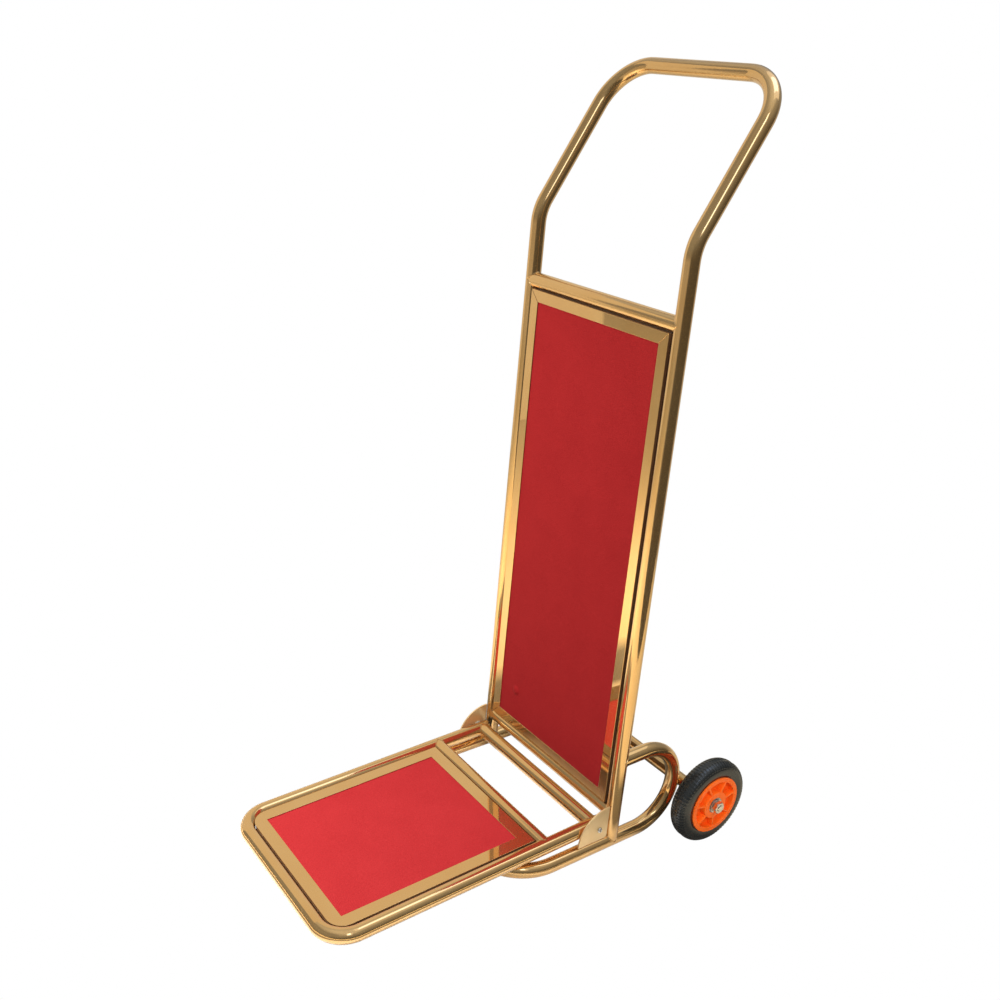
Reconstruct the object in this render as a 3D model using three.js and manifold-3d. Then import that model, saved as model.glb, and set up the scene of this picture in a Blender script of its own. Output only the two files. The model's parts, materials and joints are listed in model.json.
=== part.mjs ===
// Folding platform cart: a bent-tube handle frame with a carpeted back panel, a base tube that loops
// up behind the uprights, a carpeted platform that folds up against the back, and two rear wheels.
// Millimetres, +Z up, +X across the cart, the platform towards -Y and the wheels towards +Y.

import * as THREE from 'three';
import { mergeVertices } from 'three/addons/utils/BufferGeometryUtils.js';
import Module from 'manifold-3d';

const wasm = await Module();
wasm.setup();

const degrees = THREE.MathUtils.degToRad;
const point = (x, y, z) => new THREE.Vector3(x, y, z);

// ---------------------------------------------------------------- fits and facets

const seam = 0.3; // gap between two pieces that touch
const boltSlack = 0.3; // radial gap around a bolt, a screw or the axle rod
const panelGap = 0.75; // gap between a panel's edge and the tube beside it
const tubeFacets = 20;
const boreFacets = 10;
const smallFacets = 12;
const tyreFacets = 36;
const hubFacets = 28;
const bendStep = degrees(18);

// ---------------------------------------------------------------- driving sizes

const tubeRadius = 12.5;
const tubeWall = 1.5;

const uprightSpacing = 355; // between the uprights' axes, and the base tube's sides
const uprightLean = degrees(1.8);
const handleBendHeight = 1001; // along the upright from the base tube's axis
const handleBendRadius = 75;
const handleAngle = degrees(33.3); // of the grip's sides from vertical
const handleLength = 272;
const handleCornerRadius = 75;
const topCrossbarHeight = 889;
const bottomCrossbarHeight = 55;

const baseFrontReach = 218; // from the uprights' feet to the front bar's axis
const baseCornerRadius = 90;
const loopHeight = 157; // between the two runs of a rear loop
const loopReach = 56; // from the uprights' feet to the middle of the loop's bend

const axleTubeRadius = 11;
const axleTubeOverhang = 23; // past the outer side of the loop
const axleRodRadius = 6;
const wheelRadius = 76;
const tyreWidth = 36;
const tyreBore = 50;
const tyreTread = 8; // width of the flat tread
const tyreCrown = 2; // drop of the tread's edge at the tyre's shoulders
const tyreShoulder = 7; // from the tread down to the shoulder, and in from the side
const tyreBulge = 0.5; // of the side wall beyond the shoulder
const tyreFoot = 7; // height over which the side wall grows from the flange to its full width
const wheelGap = 35.5; // from the loop's outer side to the tyre
const hubWidth = 40;
const hubFlangeRadius = 52;
const hubFlangeWidth = 3;
const hubRimInner = 44;
const hubBossRadius = 19;
const hubWeb = 6;
const hubRibs = 7;
const hubRibWidth = 4;
const hubRibSetback = 4; // of a rib's edge behind the hub's end
const hubBite = 1; // of a rib into the boss and the rim
const hubRodClearance = 2; // of the hub's bore around the axle rod
const bearingRadius = 14;
const bearingWidth = 8;
const axleWasherRadius = 12;
const axleWasherThickness = 2;
const axleNutAcrossFlats = 19;
const axleNutHeight = 8;
const axleRodStickOut = 1.5;
const axleBushLength = 18;
const axleBushFlange = 2;
const axleBushNeck = 2; // wall of the spacer between the flange and the bearing

const gussetRadius = 61;
const gussetThickness = 3;
const gussetInnerCorner = 5; // where the plate is rounded off the weld of base tube and upright
const pivotReach = 31; // in front of the uprights' feet
const pivotClearance = 9.5; // between the base tube and the rails at the pivot
const pivotBoltRadius = 3;
const pivotHeadRadius = 5;
const pivotHeadHeight = 3;
const pivotHeadShoulder = 4; // radius halfway up the button head
const pivotHeadTop = 3; // radius of the flat ring around the socket
const pivotSocketRadius = 2;
const pivotSocketDepth = 1.6;
const pivotWasherRadius = 8;
const pivotWasherThickness = 1.1;
const pivotSleeveWall = 2.2;

const railInset = 11.5; // of the rails' axes inside the uprights' axes
const platformReach = 493; // from the pivot to the front bar's axis
const platformCornerRadius = 47;
const platformSlope = degrees(1.4); // down towards the front when it rests on its bumpers
const middleCrossbarReach = 100.5; // from the pivot
const railTail = 13; // of the rails behind the pivot
const railCapThickness = 1.5;
const railCapShank = 5;
const bumperRadius = 12;
const bumperFootRadius = 10;
const bumperTaper = 2; // height over which the foot widens to the full radius
const bumperSpread = 60; // from the middle to each bumper

const trimThickness = 1.2;
const carpetThickness = 3;
const boardThickness = 9;
const platformTrimWidth = 22;
const backTrimWidth = 19;
const platformTrimRise = 8.6; // of the trim's face over the rails' axes
const backTrimRise = 11.4; // of the trim's face before the uprights' axes

const tabThickness = 2;
const tabLength = 32;
const tabWidth = 25;
const tabInset = 90; // from a panel's end to the middle of a tab
const screwRadius = 2;
const screwHeadRadius = 4.5;
const screwHeadTop = 2.7; // radius of the head's flat top
const screwHeadHeight = 2.4;
const screwBite = 7; // into the board

// ---------------------------------------------------------------- sizes that follow

const half = uprightSpacing / 2;
const boreRadius = tubeRadius - tubeWall;
const cutRadius = tubeRadius + seam;
const loopRadius = loopHeight / 2;
const loopBack = loopReach + loopRadius;
const loopTop = tubeRadius + loopHeight;
const axleHeight = wheelRadius;
const axleReach = loopReach + Math.sqrt(
  (loopRadius + tubeRadius + axleTubeRadius + seam) ** 2
  - (tubeRadius + loopRadius - axleHeight) ** 2);
const axleTubeEnd = half + tubeRadius + axleTubeOverhang;
const wheelMiddle = half + tubeRadius + wheelGap + tyreWidth / 2;
const railOffset = half - railInset;
const pivotHeight = 3 * tubeRadius + pivotClearance;
const washerInner = railOffset + tubeRadius + seam;
const gussetInner = washerInner + pivotWasherThickness + seam;
const gussetMiddle = gussetInner + gussetThickness / 2;
const boardTop = -(trimThickness + seam + carpetThickness + seam);
const boardBottom = boardTop - boardThickness;

// ---------------------------------------------------------------- materials

const finish = (color, roughness, metalness) =>
  new THREE.MeshStandardMaterial({ color, roughness, metalness });

const polishedGold = finish(0xd8a760, 0.12, 1);
const satinGold = finish(0xd9b27a, 0.35, 1);
const redCarpet = finish(0xd23c3c, 0.95, 0);
const deepRedCarpet = finish(0xa52b2d, 0.95, 0);
const plywood = finish(0x4a3526, 0.8, 0);
const blackRubber = finish(0x26282b, 0.7, 0);
const blackPlastic = finish(0x1b1b1c, 0.5, 0);
const orangePlastic = finish(0xf2661f, 0.45, 0);
const nickelSteel = finish(0xb9b4aa, 0.3, 1);
const zincSteel = finish(0x9da0a3, 0.45, 1);
const nylon = finish(0xe4e0d4, 0.5, 0);

// ---------------------------------------------------------------- paths and sweeps

// A run of straight tube with a round bend at each inner corner. Its stations are the two ends and
// the points of the bends, so the straight stretches stay in one piece.
class BentPath extends THREE.Curve {
  constructor(corners) {
    super();
    this.stations = [];
    const last = corners.length - 1;
    this.addStation(corners[0].at, direction(corners[0].at, corners[1].at));
    for (let i = 1; i < last; i += 1) {
      this.addBend(corners[i - 1].at, corners[i].at, corners[i + 1].at, corners[i].radius);
    }
    this.addStation(corners[last].at, direction(corners[last - 1].at, corners[last].at));
  }

  addStation(at, tangent) {
    const previous = this.stations.at(-1);
    if (previous && previous.at.distanceTo(at) < seam) return;
    this.stations.push({ at: at.clone(), tangent: tangent.clone() });
  }

  addBend(before, corner, after, radius) {
    const into = direction(before, corner);
    const out = direction(corner, after);
    const turn = into.angleTo(out);
    const setback = radius * Math.tan(turn / 2);
    const start = corner.clone().addScaledVector(into, -setback);
    const axis = into.clone().cross(out).normalize();
    const inward = axis.clone().cross(into);
    const centre = start.clone().addScaledVector(inward, radius);
    const steps = Math.ceil(turn / bendStep - 1e-6);
    for (let i = 0; i <= steps; i += 1) {
      const angle = turn * i / steps;
      const spoke = inward.clone().negate().applyAxisAngle(axis, angle);
      const at = centre.clone().addScaledVector(spoke, radius);
      this.addStation(at, into.clone().applyAxisAngle(axis, angle));
    }
  }

  station(u) {
    return this.stations[Math.round(u * (this.stations.length - 1))];
  }

  getPointAt(u) {
    return this.station(u).at.clone();
  }

  getTangentAt(u) {
    return this.station(u).tangent.clone();
  }
}

function direction(from, to) {
  return to.clone().sub(from).normalize();
}

function circle(radius, facets) {
  const points = [];
  for (let i = 0; i < facets; i += 1) {
    const angle = 2 * Math.PI * i / facets;
    points.push(new THREE.Vector2(radius * Math.cos(angle), radius * Math.sin(angle)));
  }
  return points;
}

function sweep(shape, corners) {
  const path = new BentPath(corners);
  const steps = path.stations.length - 1;
  return new THREE.ExtrudeGeometry(shape, { steps, bevelEnabled: false, extrudePath: path });
}

function hollowTube(corners, radius, wall) {
  const shape = new THREE.Shape(circle(radius, tubeFacets));
  shape.holes.push(new THREE.Path(circle(radius - wall, boreFacets)));
  return sweep(shape, corners);
}

function solidRod(from, to, radius, facets = tubeFacets) {
  return sweep(new THREE.Shape(circle(radius, facets)), [{ at: from }, { at: to }]);
}

// ---------------------------------------------------------------- solids

// A solid of revolution about X, of [radius, distance] points run anticlockwise; distances grow
// outwards on the given side of the cart.
function turned(profile, side, x, y, z, facets = tubeFacets) {
  const points = profile.map(([radius, along]) => new THREE.Vector2(radius, along));
  const solid = new THREE.LatheGeometry(points, facets);
  solid.rotateZ(-side * Math.PI / 2);
  solid.translate(side * x, y, z);
  return solid;
}

function ringProfile(inner, outer, from, to) {
  return [[inner, from], [outer, from], [outer, to], [inner, to], [inner, from]];
}

function box(fromX, toX, fromY, toY, fromZ, toZ) {
  const solid = new THREE.BoxGeometry(toX - fromX, toY - fromY, toZ - fromZ);
  solid.translate((fromX + toX) / 2, (fromY + toY) / 2, (fromZ + toZ) / 2);
  return solid;
}

// A flat plate from an outline drawn in X and Y, lying from one height to another.
function flatPlate(shape, fromZ, toZ) {
  const solid = new THREE.ExtrudeGeometry(shape, {
    depth: toZ - fromZ,
    bevelEnabled: false,
    curveSegments: 6,
  });
  solid.translate(0, 0, fromZ);
  return solid;
}

function toManifold(geometry) {
  const bare = geometry.clone();
  bare.deleteAttribute('normal');
  bare.deleteAttribute('uv');
  const merged = mergeVertices(bare, 1e-4);
  return new wasm.Manifold(new wasm.Mesh({
    numProp: 3,
    vertProperties: new Float32Array(merged.attributes.position.array),
    triVerts: new Uint32Array(merged.index.array),
  }));
}

function fromManifold(manifold) {
  const mesh = manifold.getMesh();
  const geometry = new THREE.BufferGeometry();
  geometry.setAttribute('position', new THREE.BufferAttribute(mesh.vertProperties, 3));
  geometry.setIndex(new THREE.BufferAttribute(mesh.triVerts, 1));
  geometry.computeVertexNormals();
  return geometry;
}

function cut(geometry, ...tools) {
  const body = tools.reduce((rest, tool) => rest.subtract(toManifold(tool)), toManifold(geometry));
  return fromManifold(body);
}

function join(...geometries) {
  const [first, ...others] = geometries.map(toManifold);
  return fromManifold(others.reduce((sum, other) => sum.add(other), first));
}

// ---------------------------------------------------------------- frames of reference

// The back frame stands on the base tube's axis and leans back with the uprights.
const backFrame = new THREE.Matrix4()
  .makeRotationX(-uprightLean)
  .setPosition(0, 0, tubeRadius);

// The platform frame sits on the pivot and slopes down towards the front.
const platformFrame = new THREE.Matrix4()
  .makeRotationX(platformSlope)
  .setPosition(0, -pivotReach, pivotHeight);

const onBack = (x, y, z) => point(x, y, z).applyMatrix4(backFrame);
const onPlatform = (x, y, z) => point(x, y, z).applyMatrix4(platformFrame);

const cart = new THREE.Group();
cart.name = 'folding_platform_cart';

function add(name, geometry, material) {
  const mesh = new THREE.Mesh(geometry, material);
  mesh.name = name;
  cart.add(mesh);
}

// ---------------------------------------------------------------- handle frame

// An upright above the base tube, as thick as the gap around it.
const uprightCutter = (side) => solidRod(
  onBack(side * half, 0, 2 * tubeRadius), onBack(side * half, 0, handleBendHeight), cutRadius);

const baseSideCutter = (side) => solidRod(
  point(side * half, -3 * tubeRadius, tubeRadius), point(side * half, 3 * tubeRadius, tubeRadius),
  cutRadius);

function handleTube() {
  const bend = onBack(half, 0, handleBendHeight);
  const topY = bend.y + handleLength * Math.sin(handleAngle);
  const topZ = bend.z + handleLength * Math.cos(handleAngle);
  const tube = hollowTube([
    { at: onBack(-half, 0, 0) },
    { at: point(-half, bend.y, bend.z), radius: handleBendRadius },
    { at: point(-half, topY, topZ), radius: handleCornerRadius },
    { at: point(half, topY, topZ), radius: handleCornerRadius },
    { at: bend, radius: handleBendRadius },
    { at: onBack(half, 0, 0) },
  ], tubeRadius, tubeWall);
  return cut(tube, baseSideCutter(-1), baseSideCutter(1));
}

function backCrossbar(height) {
  const tube = hollowTube(
    [{ at: onBack(-half, 0, height) }, { at: onBack(half, 0, height) }], tubeRadius, tubeWall);
  return cut(tube, uprightCutter(-1), uprightCutter(1));
}

add('handle_frame_tube', handleTube(), polishedGold);
add('back_top_crossbar', backCrossbar(topCrossbarHeight), polishedGold);
add('back_bottom_crossbar', backCrossbar(bottomCrossbarHeight), polishedGold);

// ---------------------------------------------------------------- base tube and axle tube

function baseTube() {
  const end = onBack(0, 0, loopHeight).y;
  const sideCorners = (x) => [
    { at: point(x, loopBack, loopTop), radius: loopRadius },
    { at: point(x, loopBack, tubeRadius), radius: loopRadius },
    { at: point(x, -baseFrontReach, tubeRadius), radius: baseCornerRadius },
  ];
  const tube = hollowTube([
    { at: point(-half, end, loopTop) },
    ...sideCorners(-half),
    ...sideCorners(half).reverse(),
    { at: point(half, end, loopTop) },
  ], tubeRadius, tubeWall);
  return cut(tube, uprightCutter(-1), uprightCutter(1));
}

function axleTube() {
  return hollowTube([
    { at: point(-axleTubeEnd, axleReach, axleHeight) },
    { at: point(axleTubeEnd, axleReach, axleHeight) },
  ], axleTubeRadius, tubeWall);
}

add('base_tube', baseTube(), polishedGold);
add('axle_tube', axleTube(), polishedGold);

// ---------------------------------------------------------------- gusset plates

// A quarter disc in the corner between an upright and the base tube, drawn with its outline's first
// axis forwards and its second axis up.
function gussetPlate(side) {
  const foot = -onBack(0, -cutRadius, 0).y;
  const bottom = 2 * tubeRadius + seam;
  const rearEdge = (height) => foot - Math.tan(uprightLean) * (height - tubeRadius);
  const shape = new THREE.Shape();
  shape.moveTo(rearEdge(bottom) + gussetInnerCorner, bottom);
  shape.lineTo(foot + gussetRadius, bottom);
  shape.absarc(foot, bottom, gussetRadius, 0, Math.PI / 2 + uprightLean, false);
  shape.lineTo(rearEdge(bottom + gussetInnerCorner), bottom + gussetInnerCorner);
  shape.quadraticCurveTo(
    rearEdge(bottom), bottom, rearEdge(bottom) + gussetInnerCorner, bottom);
  const plate = new THREE.ExtrudeGeometry(shape, {
    depth: gussetThickness,
    bevelEnabled: false,
    curveSegments: 10,
  });
  plate.applyMatrix4(new THREE.Matrix4().makeBasis(point(0, -1, 0), point(0, 0, 1), point(-1, 0, 0)));
  plate.translate(side * gussetMiddle + gussetThickness / 2, 0, 0);
  const hole = solidRod(
    point(side * (gussetInner - seam), -pivotReach, pivotHeight),
    point(side * (gussetInner + gussetThickness + seam), -pivotReach, pivotHeight),
    pivotBoltRadius + boltSlack, smallFacets);
  return cut(plate, hole);
}

add('gusset_plate_left', gussetPlate(-1), satinGold);
add('gusset_plate_right', gussetPlate(1), satinGold);

// ---------------------------------------------------------------- platform frame

const railCutter = (side) => solidRod(
  onPlatform(side * railOffset, -platformReach, 0), onPlatform(side * railOffset, 2 * railTail, 0),
  cutRadius);

const sleeveRadius = pivotBoltRadius + boltSlack + pivotSleeveWall;

function platformTube() {
  const tube = hollowTube([
    { at: onPlatform(-railOffset, railTail, 0) },
    { at: onPlatform(-railOffset, -platformReach, 0), radius: platformCornerRadius },
    { at: onPlatform(railOffset, -platformReach, 0), radius: platformCornerRadius },
    { at: onPlatform(railOffset, railTail, 0) },
  ], tubeRadius, tubeWall);
  const sleeveHole = (side) => solidRod(
    onPlatform(side * (railOffset - 2 * tubeRadius), 0, 0),
    onPlatform(side * (railOffset + 2 * tubeRadius), 0, 0),
    sleeveRadius + seam, smallFacets);
  return cut(tube, sleeveHole(-1), sleeveHole(1));
}

function platformCrossbar(reach) {
  const tube = hollowTube(
    [{ at: onPlatform(-railOffset, -reach, 0) }, { at: onPlatform(railOffset, -reach, 0) }],
    tubeRadius, tubeWall);
  return cut(tube, railCutter(-1), railCutter(1));
}

// A plug in the open end of a rail: a disc over the end and a shank inside the bore.
function railCap(side) {
  const neck = railTail + seam;
  const shank = solidRod(
    onPlatform(side * railOffset, neck - railCapShank, 0),
    onPlatform(side * railOffset, neck + seam, 0),
    boreRadius - 2 * seam, boreFacets);
  const head = solidRod(
    onPlatform(side * railOffset, neck, 0),
    onPlatform(side * railOffset, neck + railCapThickness, 0), tubeRadius);
  return join(head, shank);
}

add('platform_tube', platformTube(), polishedGold);
add('platform_middle_crossbar', platformCrossbar(middleCrossbarReach), polishedGold);
add('platform_hinge_crossbar', platformCrossbar(0), polishedGold);
add('rail_cap_left', railCap(-1), blackPlastic);
add('rail_cap_right', railCap(1), blackPlastic);

// ---------------------------------------------------------------- pivots

// A button-head bolt from outside the gusset plate into the threaded sleeve across the rail.
function pivotBolt(side) {
  const underHead = gussetInner + gussetThickness + seam;
  const tip = railOffset - tubeRadius + seam - underHead;
  const rim = pivotHeadHeight / 3;
  const socketFloor = pivotHeadHeight - pivotSocketDepth;
  return turned([
    [0, tip], [pivotBoltRadius, tip], [pivotBoltRadius, 0], [pivotHeadRadius, 0],
    [pivotHeadRadius, rim], [pivotHeadShoulder, 2 * rim], [pivotHeadTop, pivotHeadHeight],
    [pivotSocketRadius, pivotHeadHeight], [pivotSocketRadius, socketFloor], [0, socketFloor],
  ], side, underHead, -pivotReach, pivotHeight, smallFacets);
}

function pivotWasher(side) {
  const profile = ringProfile(
    pivotBoltRadius + boltSlack, pivotWasherRadius, 0, pivotWasherThickness);
  return turned(profile, side, washerInner, -pivotReach, pivotHeight, smallFacets);
}

function pivotSleeve(side) {
  const profile = ringProfile(
    pivotBoltRadius + boltSlack, sleeveRadius, -tubeRadius, tubeRadius);
  return turned(profile, side, railOffset, -pivotReach, pivotHeight, smallFacets);
}

for (const [name, side] of [['left', -1], ['right', 1]]) {
  add(`pivot_bolt_${name}`, pivotBolt(side), nickelSteel);
  add(`pivot_washer_${name}`, pivotWasher(side), nylon);
  add(`pivot_sleeve_${name}`, pivotSleeve(side), zincSteel);
}

// ---------------------------------------------------------------- panels

// An upright rectangle with rounded corners at its low end, or square ones where the radius is 0.
function panelOutline(halfWidth, from, to, cornerRadius) {
  const shape = new THREE.Shape();
  shape.moveTo(halfWidth, to);
  shape.lineTo(-halfWidth, to);
  shape.lineTo(-halfWidth, from + cornerRadius);
  if (cornerRadius > 0) {
    const x = halfWidth - cornerRadius;
    shape.absarc(-x, from + cornerRadius, cornerRadius, Math.PI, 1.5 * Math.PI, false);
    shape.absarc(x, from + cornerRadius, cornerRadius, 1.5 * Math.PI, 2 * Math.PI, false);
  } else {
    shape.lineTo(-halfWidth, from);
    shape.lineTo(halfWidth, from);
  }
  shape.lineTo(halfWidth, to);
  return shape;
}

// One mitred strip of a picture-frame trim, drawn along X with its outer edge down.
function mitredStrip(length, width) {
  const end = length / 2 - seam;
  const shape = new THREE.Shape();
  shape.moveTo(-end, 0);
  shape.lineTo(end, 0);
  shape.lineTo(end - width, width);
  shape.lineTo(width - end, width);
  shape.closePath();
  return shape;
}

const screwHole = (x, y, z) => solidRod(
  point(x, y, z - boardThickness - tabThickness - seam), point(x, y, z + screwBite + seam),
  screwRadius + boltSlack, smallFacets);

// A panel lies in the X and Y of its own frame with its face up; its frame is then placed. Four tabs
// welded to the tubes beside it hold the board from below with one screw each.
const tabTop = boardBottom - seam;

const panelTabs = (panel) => [
  { name: `left_${panel.lowEnd}`, side: -1, y: panel.from + tabInset },
  { name: `right_${panel.lowEnd}`, side: 1, y: panel.from + tabInset },
  { name: `left_${panel.highEnd}`, side: -1, y: panel.to - tabInset },
  { name: `right_${panel.highEnd}`, side: 1, y: panel.to - tabInset },
];

// Where a tab's outer end meets the round of the tube.
function tabOuter(panel) {
  const drop = panel.rise + tabTop;
  return panel.tubeOffset - Math.sqrt(cutRadius ** 2 - drop ** 2);
}

function tabScrewX(panel) {
  return panel.halfWidth - tabLength / 2 - tabThickness;
}

function panelBoard(panel) {
  const outline = panelOutline(panel.halfWidth, panel.from, panel.to, panel.cornerRadius);
  const board = flatPlate(outline, boardBottom, boardTop);
  const holes = panelTabs(panel).map(({ side, y }) =>
    screwHole(side * tabScrewX(panel), y, boardBottom));
  return cut(board, ...holes);
}

function panelCarpet(panel) {
  const outline = panelOutline(panel.halfWidth, panel.from, panel.to, panel.cornerRadius);
  return flatPlate(outline, -trimThickness - seam - carpetThickness, -trimThickness - seam);
}

function panelTab(panel, side, y) {
  const outer = tabOuter(panel);
  const inner = outer - tabLength;
  const [low, high] = side > 0 ? [inner, outer] : [-outer, -inner];
  const plate = box(low, high, y - tabWidth / 2, y + tabWidth / 2, tabTop - tabThickness, tabTop);
  return cut(plate, screwHole(side * tabScrewX(panel), y, tabTop));
}

function panelScrew(panel, side, y) {
  const head = tabTop - tabThickness - seam;
  const screw = new THREE.LatheGeometry([
    new THREE.Vector2(0, -screwHeadHeight),
    new THREE.Vector2(screwHeadTop, -screwHeadHeight),
    new THREE.Vector2(screwHeadRadius, -screwHeadHeight / 2),
    new THREE.Vector2(screwHeadRadius, 0),
    new THREE.Vector2(screwRadius, 0),
    new THREE.Vector2(screwRadius, tabThickness + 2 * seam + screwBite),
    new THREE.Vector2(0, tabThickness + 2 * seam + screwBite),
  ], smallFacets);
  screw.rotateX(Math.PI / 2);
  screw.translate(side * tabScrewX(panel), y, head);
  return screw;
}

function placed(geometry, frame) {
  geometry.applyMatrix4(frame);
  return geometry;
}

function addPanel(prefix, panel, frame, carpetFinish) {
  add(`${prefix}_board`, placed(panelBoard(panel), frame), plywood);
  add(`${prefix}_carpet`, placed(panelCarpet(panel), frame), carpetFinish);
  for (const { name, side, y } of panelTabs(panel)) {
    const tab = placed(panelTab(panel, side, y), frame);
    add(`${prefix}_tab_${name}`, cut(tab, ...panel.besideTabs(side)), satinGold);
    add(`${prefix}_screw_${name}`, placed(panelScrew(panel, side, y), frame), zincSteel);
  }
}

// ---------------------------------------------------------------- platform deck

const platformPanel = {
  halfWidth: railOffset - tubeRadius - panelGap,
  from: -(platformReach - tubeRadius - panelGap),
  to: -(middleCrossbarReach + tubeRadius + panelGap),
  cornerRadius: platformCornerRadius - tubeRadius - panelGap,
  rise: platformTrimRise,
  tubeOffset: railOffset,
  lowEnd: 'front',
  highEnd: 'rear',
  besideTabs: () => [],
};

const deckFrame = platformFrame.clone().multiply(
  new THREE.Matrix4().makeTranslation(0, 0, platformTrimRise));

function deckTrim(panel) {
  const outline = panelOutline(panel.halfWidth, panel.from, panel.to, panel.cornerRadius);
  const window = panelOutline(
    panel.halfWidth - platformTrimWidth, panel.from + platformTrimWidth,
    panel.to - platformTrimWidth, 0);
  outline.holes.push(new THREE.Path(window.getPoints()));
  return flatPlate(outline, -trimThickness, 0);
}

addPanel('platform', platformPanel, deckFrame, redCarpet);
add('platform_trim', placed(deckTrim(platformPanel), deckFrame), polishedGold);

// ---------------------------------------------------------------- platform bumpers

// A rubber bumper under the board stands on the top of the base tube's front bar.
function bumper(side) {
  const barY = -baseFrontReach + pivotReach;
  const boardUnderside = onPlatform(0, barY, platformTrimRise + boardBottom - seam);
  const foot = 2 * tubeRadius + seam + bumperRadius * Math.sin(platformSlope);
  const height = boardUnderside.z - foot;
  const rubber = new THREE.LatheGeometry([
    new THREE.Vector2(0, -height),
    new THREE.Vector2(bumperFootRadius, -height),
    new THREE.Vector2(bumperRadius, bumperTaper - height),
    new THREE.Vector2(bumperRadius, 0),
    new THREE.Vector2(0, 0),
  ], tubeFacets);
  rubber.rotateX(Math.PI / 2);
  rubber.translate(side * bumperSpread, barY, platformTrimRise + boardBottom - seam);
  return placed(rubber, platformFrame);
}

add('platform_bumper_left', bumper(-1), blackRubber);
add('platform_bumper_right', bumper(1), blackRubber);

// ---------------------------------------------------------------- back panel

const backPanel = {
  halfWidth: half - tubeRadius - panelGap,
  from: bottomCrossbarHeight + tubeRadius + panelGap,
  to: topCrossbarHeight - tubeRadius - panelGap,
  cornerRadius: 0,
  rise: backTrimRise,
  tubeOffset: half,
  lowEnd: 'lower',
  highEnd: 'upper',
  besideTabs: (side) => [solidRod(
    point(side * half, 0, loopTop), point(side * half, loopBack, loopTop), tubeRadius)],
};

// The panel's own up runs up the back frame and its face looks forwards.
const backPanelFrame = backFrame.clone().multiply(
  new THREE.Matrix4().makeTranslation(0, -backTrimRise, 0)).multiply(
  new THREE.Matrix4().makeRotationX(Math.PI / 2));

function backTrim(turns, length, x, y) {
  const strip = flatPlate(mitredStrip(length, backTrimWidth), -trimThickness, 0);
  strip.rotateZ(turns * Math.PI / 2);
  strip.translate(x, y, 0);
  return placed(strip, backPanelFrame);
}

const backWidth = 2 * backPanel.halfWidth;
const backHeight = backPanel.to - backPanel.from;
const backMiddle = (backPanel.from + backPanel.to) / 2;

addPanel('back', backPanel, backPanelFrame, deepRedCarpet);
add('back_trim_bottom', backTrim(0, backWidth, 0, backPanel.from), polishedGold);
add('back_trim_right', backTrim(1, backHeight, backPanel.halfWidth, backMiddle), polishedGold);
add('back_trim_top', backTrim(2, backWidth, 0, backPanel.to), polishedGold);
add('back_trim_left', backTrim(3, backHeight, -backPanel.halfWidth, backMiddle), polishedGold);

// ---------------------------------------------------------------- wheels

const hubEnd = hubWidth / 2;
const tyreBead = hubEnd - hubFlangeWidth - seam;

function tyre(side) {
  const wall = tyreWidth / 2;
  const bead = tyreBore + seam;
  const halfSection = [
    [wheelRadius, tyreTread / 2], [wheelRadius - tyreCrown, wall - tyreShoulder],
    [wheelRadius - tyreShoulder, wall - tyreBulge], [hubFlangeRadius + tyreFoot, wall],
    [hubFlangeRadius + tyreFoot / 2, tyreBead], [bead, tyreBead],
  ];
  const mirrored = halfSection.map(([radius, along]) => [radius, -along]).reverse();
  return turned(
    [...mirrored, ...halfSection, mirrored[0]],
    side, wheelMiddle, axleReach, axleHeight, tyreFacets);
}

// The hub is a rim with two flanges, a thin web, a boss for the two bearings, and ribs.
function hub(side) {
  const seat = hubEnd - bearingWidth - seam;
  const rodBore = axleRodRadius + hubRodClearance;
  const bearingBore = bearingRadius + seam;
  const halfSection = [
    [tyreBore, hubEnd - hubFlangeWidth], [hubFlangeRadius, hubEnd - hubFlangeWidth],
    [hubFlangeRadius, hubEnd], [hubRimInner, hubEnd], [hubRimInner, hubWeb / 2],
    [hubBossRadius, hubWeb / 2], [hubBossRadius, hubEnd], [bearingBore, hubEnd],
    [bearingBore, seat], [rodBore, seat],
  ];
  const mirrored = halfSection.map(([radius, along]) => [radius, -along]).reverse();
  const body = turned(
    [...mirrored, ...halfSection, mirrored[0]],
    side, wheelMiddle, axleReach, axleHeight, hubFacets);
  const ribEnd = hubEnd - hubRibSetback;
  const ribs = [];
  for (let i = 0; i < hubRibs; i += 1) {
    const rib = box(-ribEnd, ribEnd, -hubRibWidth / 2, hubRibWidth / 2,
      hubBossRadius - hubBite, hubRimInner + hubBite);
    rib.rotateX(2 * Math.PI * (i + 0.5) / hubRibs);
    rib.translate(side * wheelMiddle, axleReach, axleHeight);
    ribs.push(rib);
  }
  return join(body, ...ribs);
}

function bearing(side, outward) {
  const face = outward * (hubEnd - bearingWidth / 2);
  const profile = ringProfile(
    axleRodRadius + boltSlack, bearingRadius, -bearingWidth / 2, bearingWidth / 2);
  return turned(profile, side, wheelMiddle + face, axleReach, axleHeight);
}

const rodEnd = wheelMiddle + hubEnd + 2 * seam + axleWasherThickness + axleNutHeight
  + axleRodStickOut;

// A flanged bush in each end of the axle tube centres the rod and spaces the wheel off.
function axleBush(side) {
  const inTube = axleTubeRadius - tubeWall - 2 * seam;
  const spacerEnd = wheelMiddle - hubEnd - axleTubeEnd - seam;
  const bore = axleRodRadius + boltSlack;
  const neck = bore + axleBushNeck;
  return turned([
    [bore, -axleBushLength], [inTube, -axleBushLength], [inTube, seam], [axleTubeRadius, seam],
    [axleTubeRadius, seam + axleBushFlange], [neck, seam + axleBushFlange],
    [neck, spacerEnd], [bore, spacerEnd], [bore, -axleBushLength],
  ], side, axleTubeEnd, axleReach, axleHeight, smallFacets);
}

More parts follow.
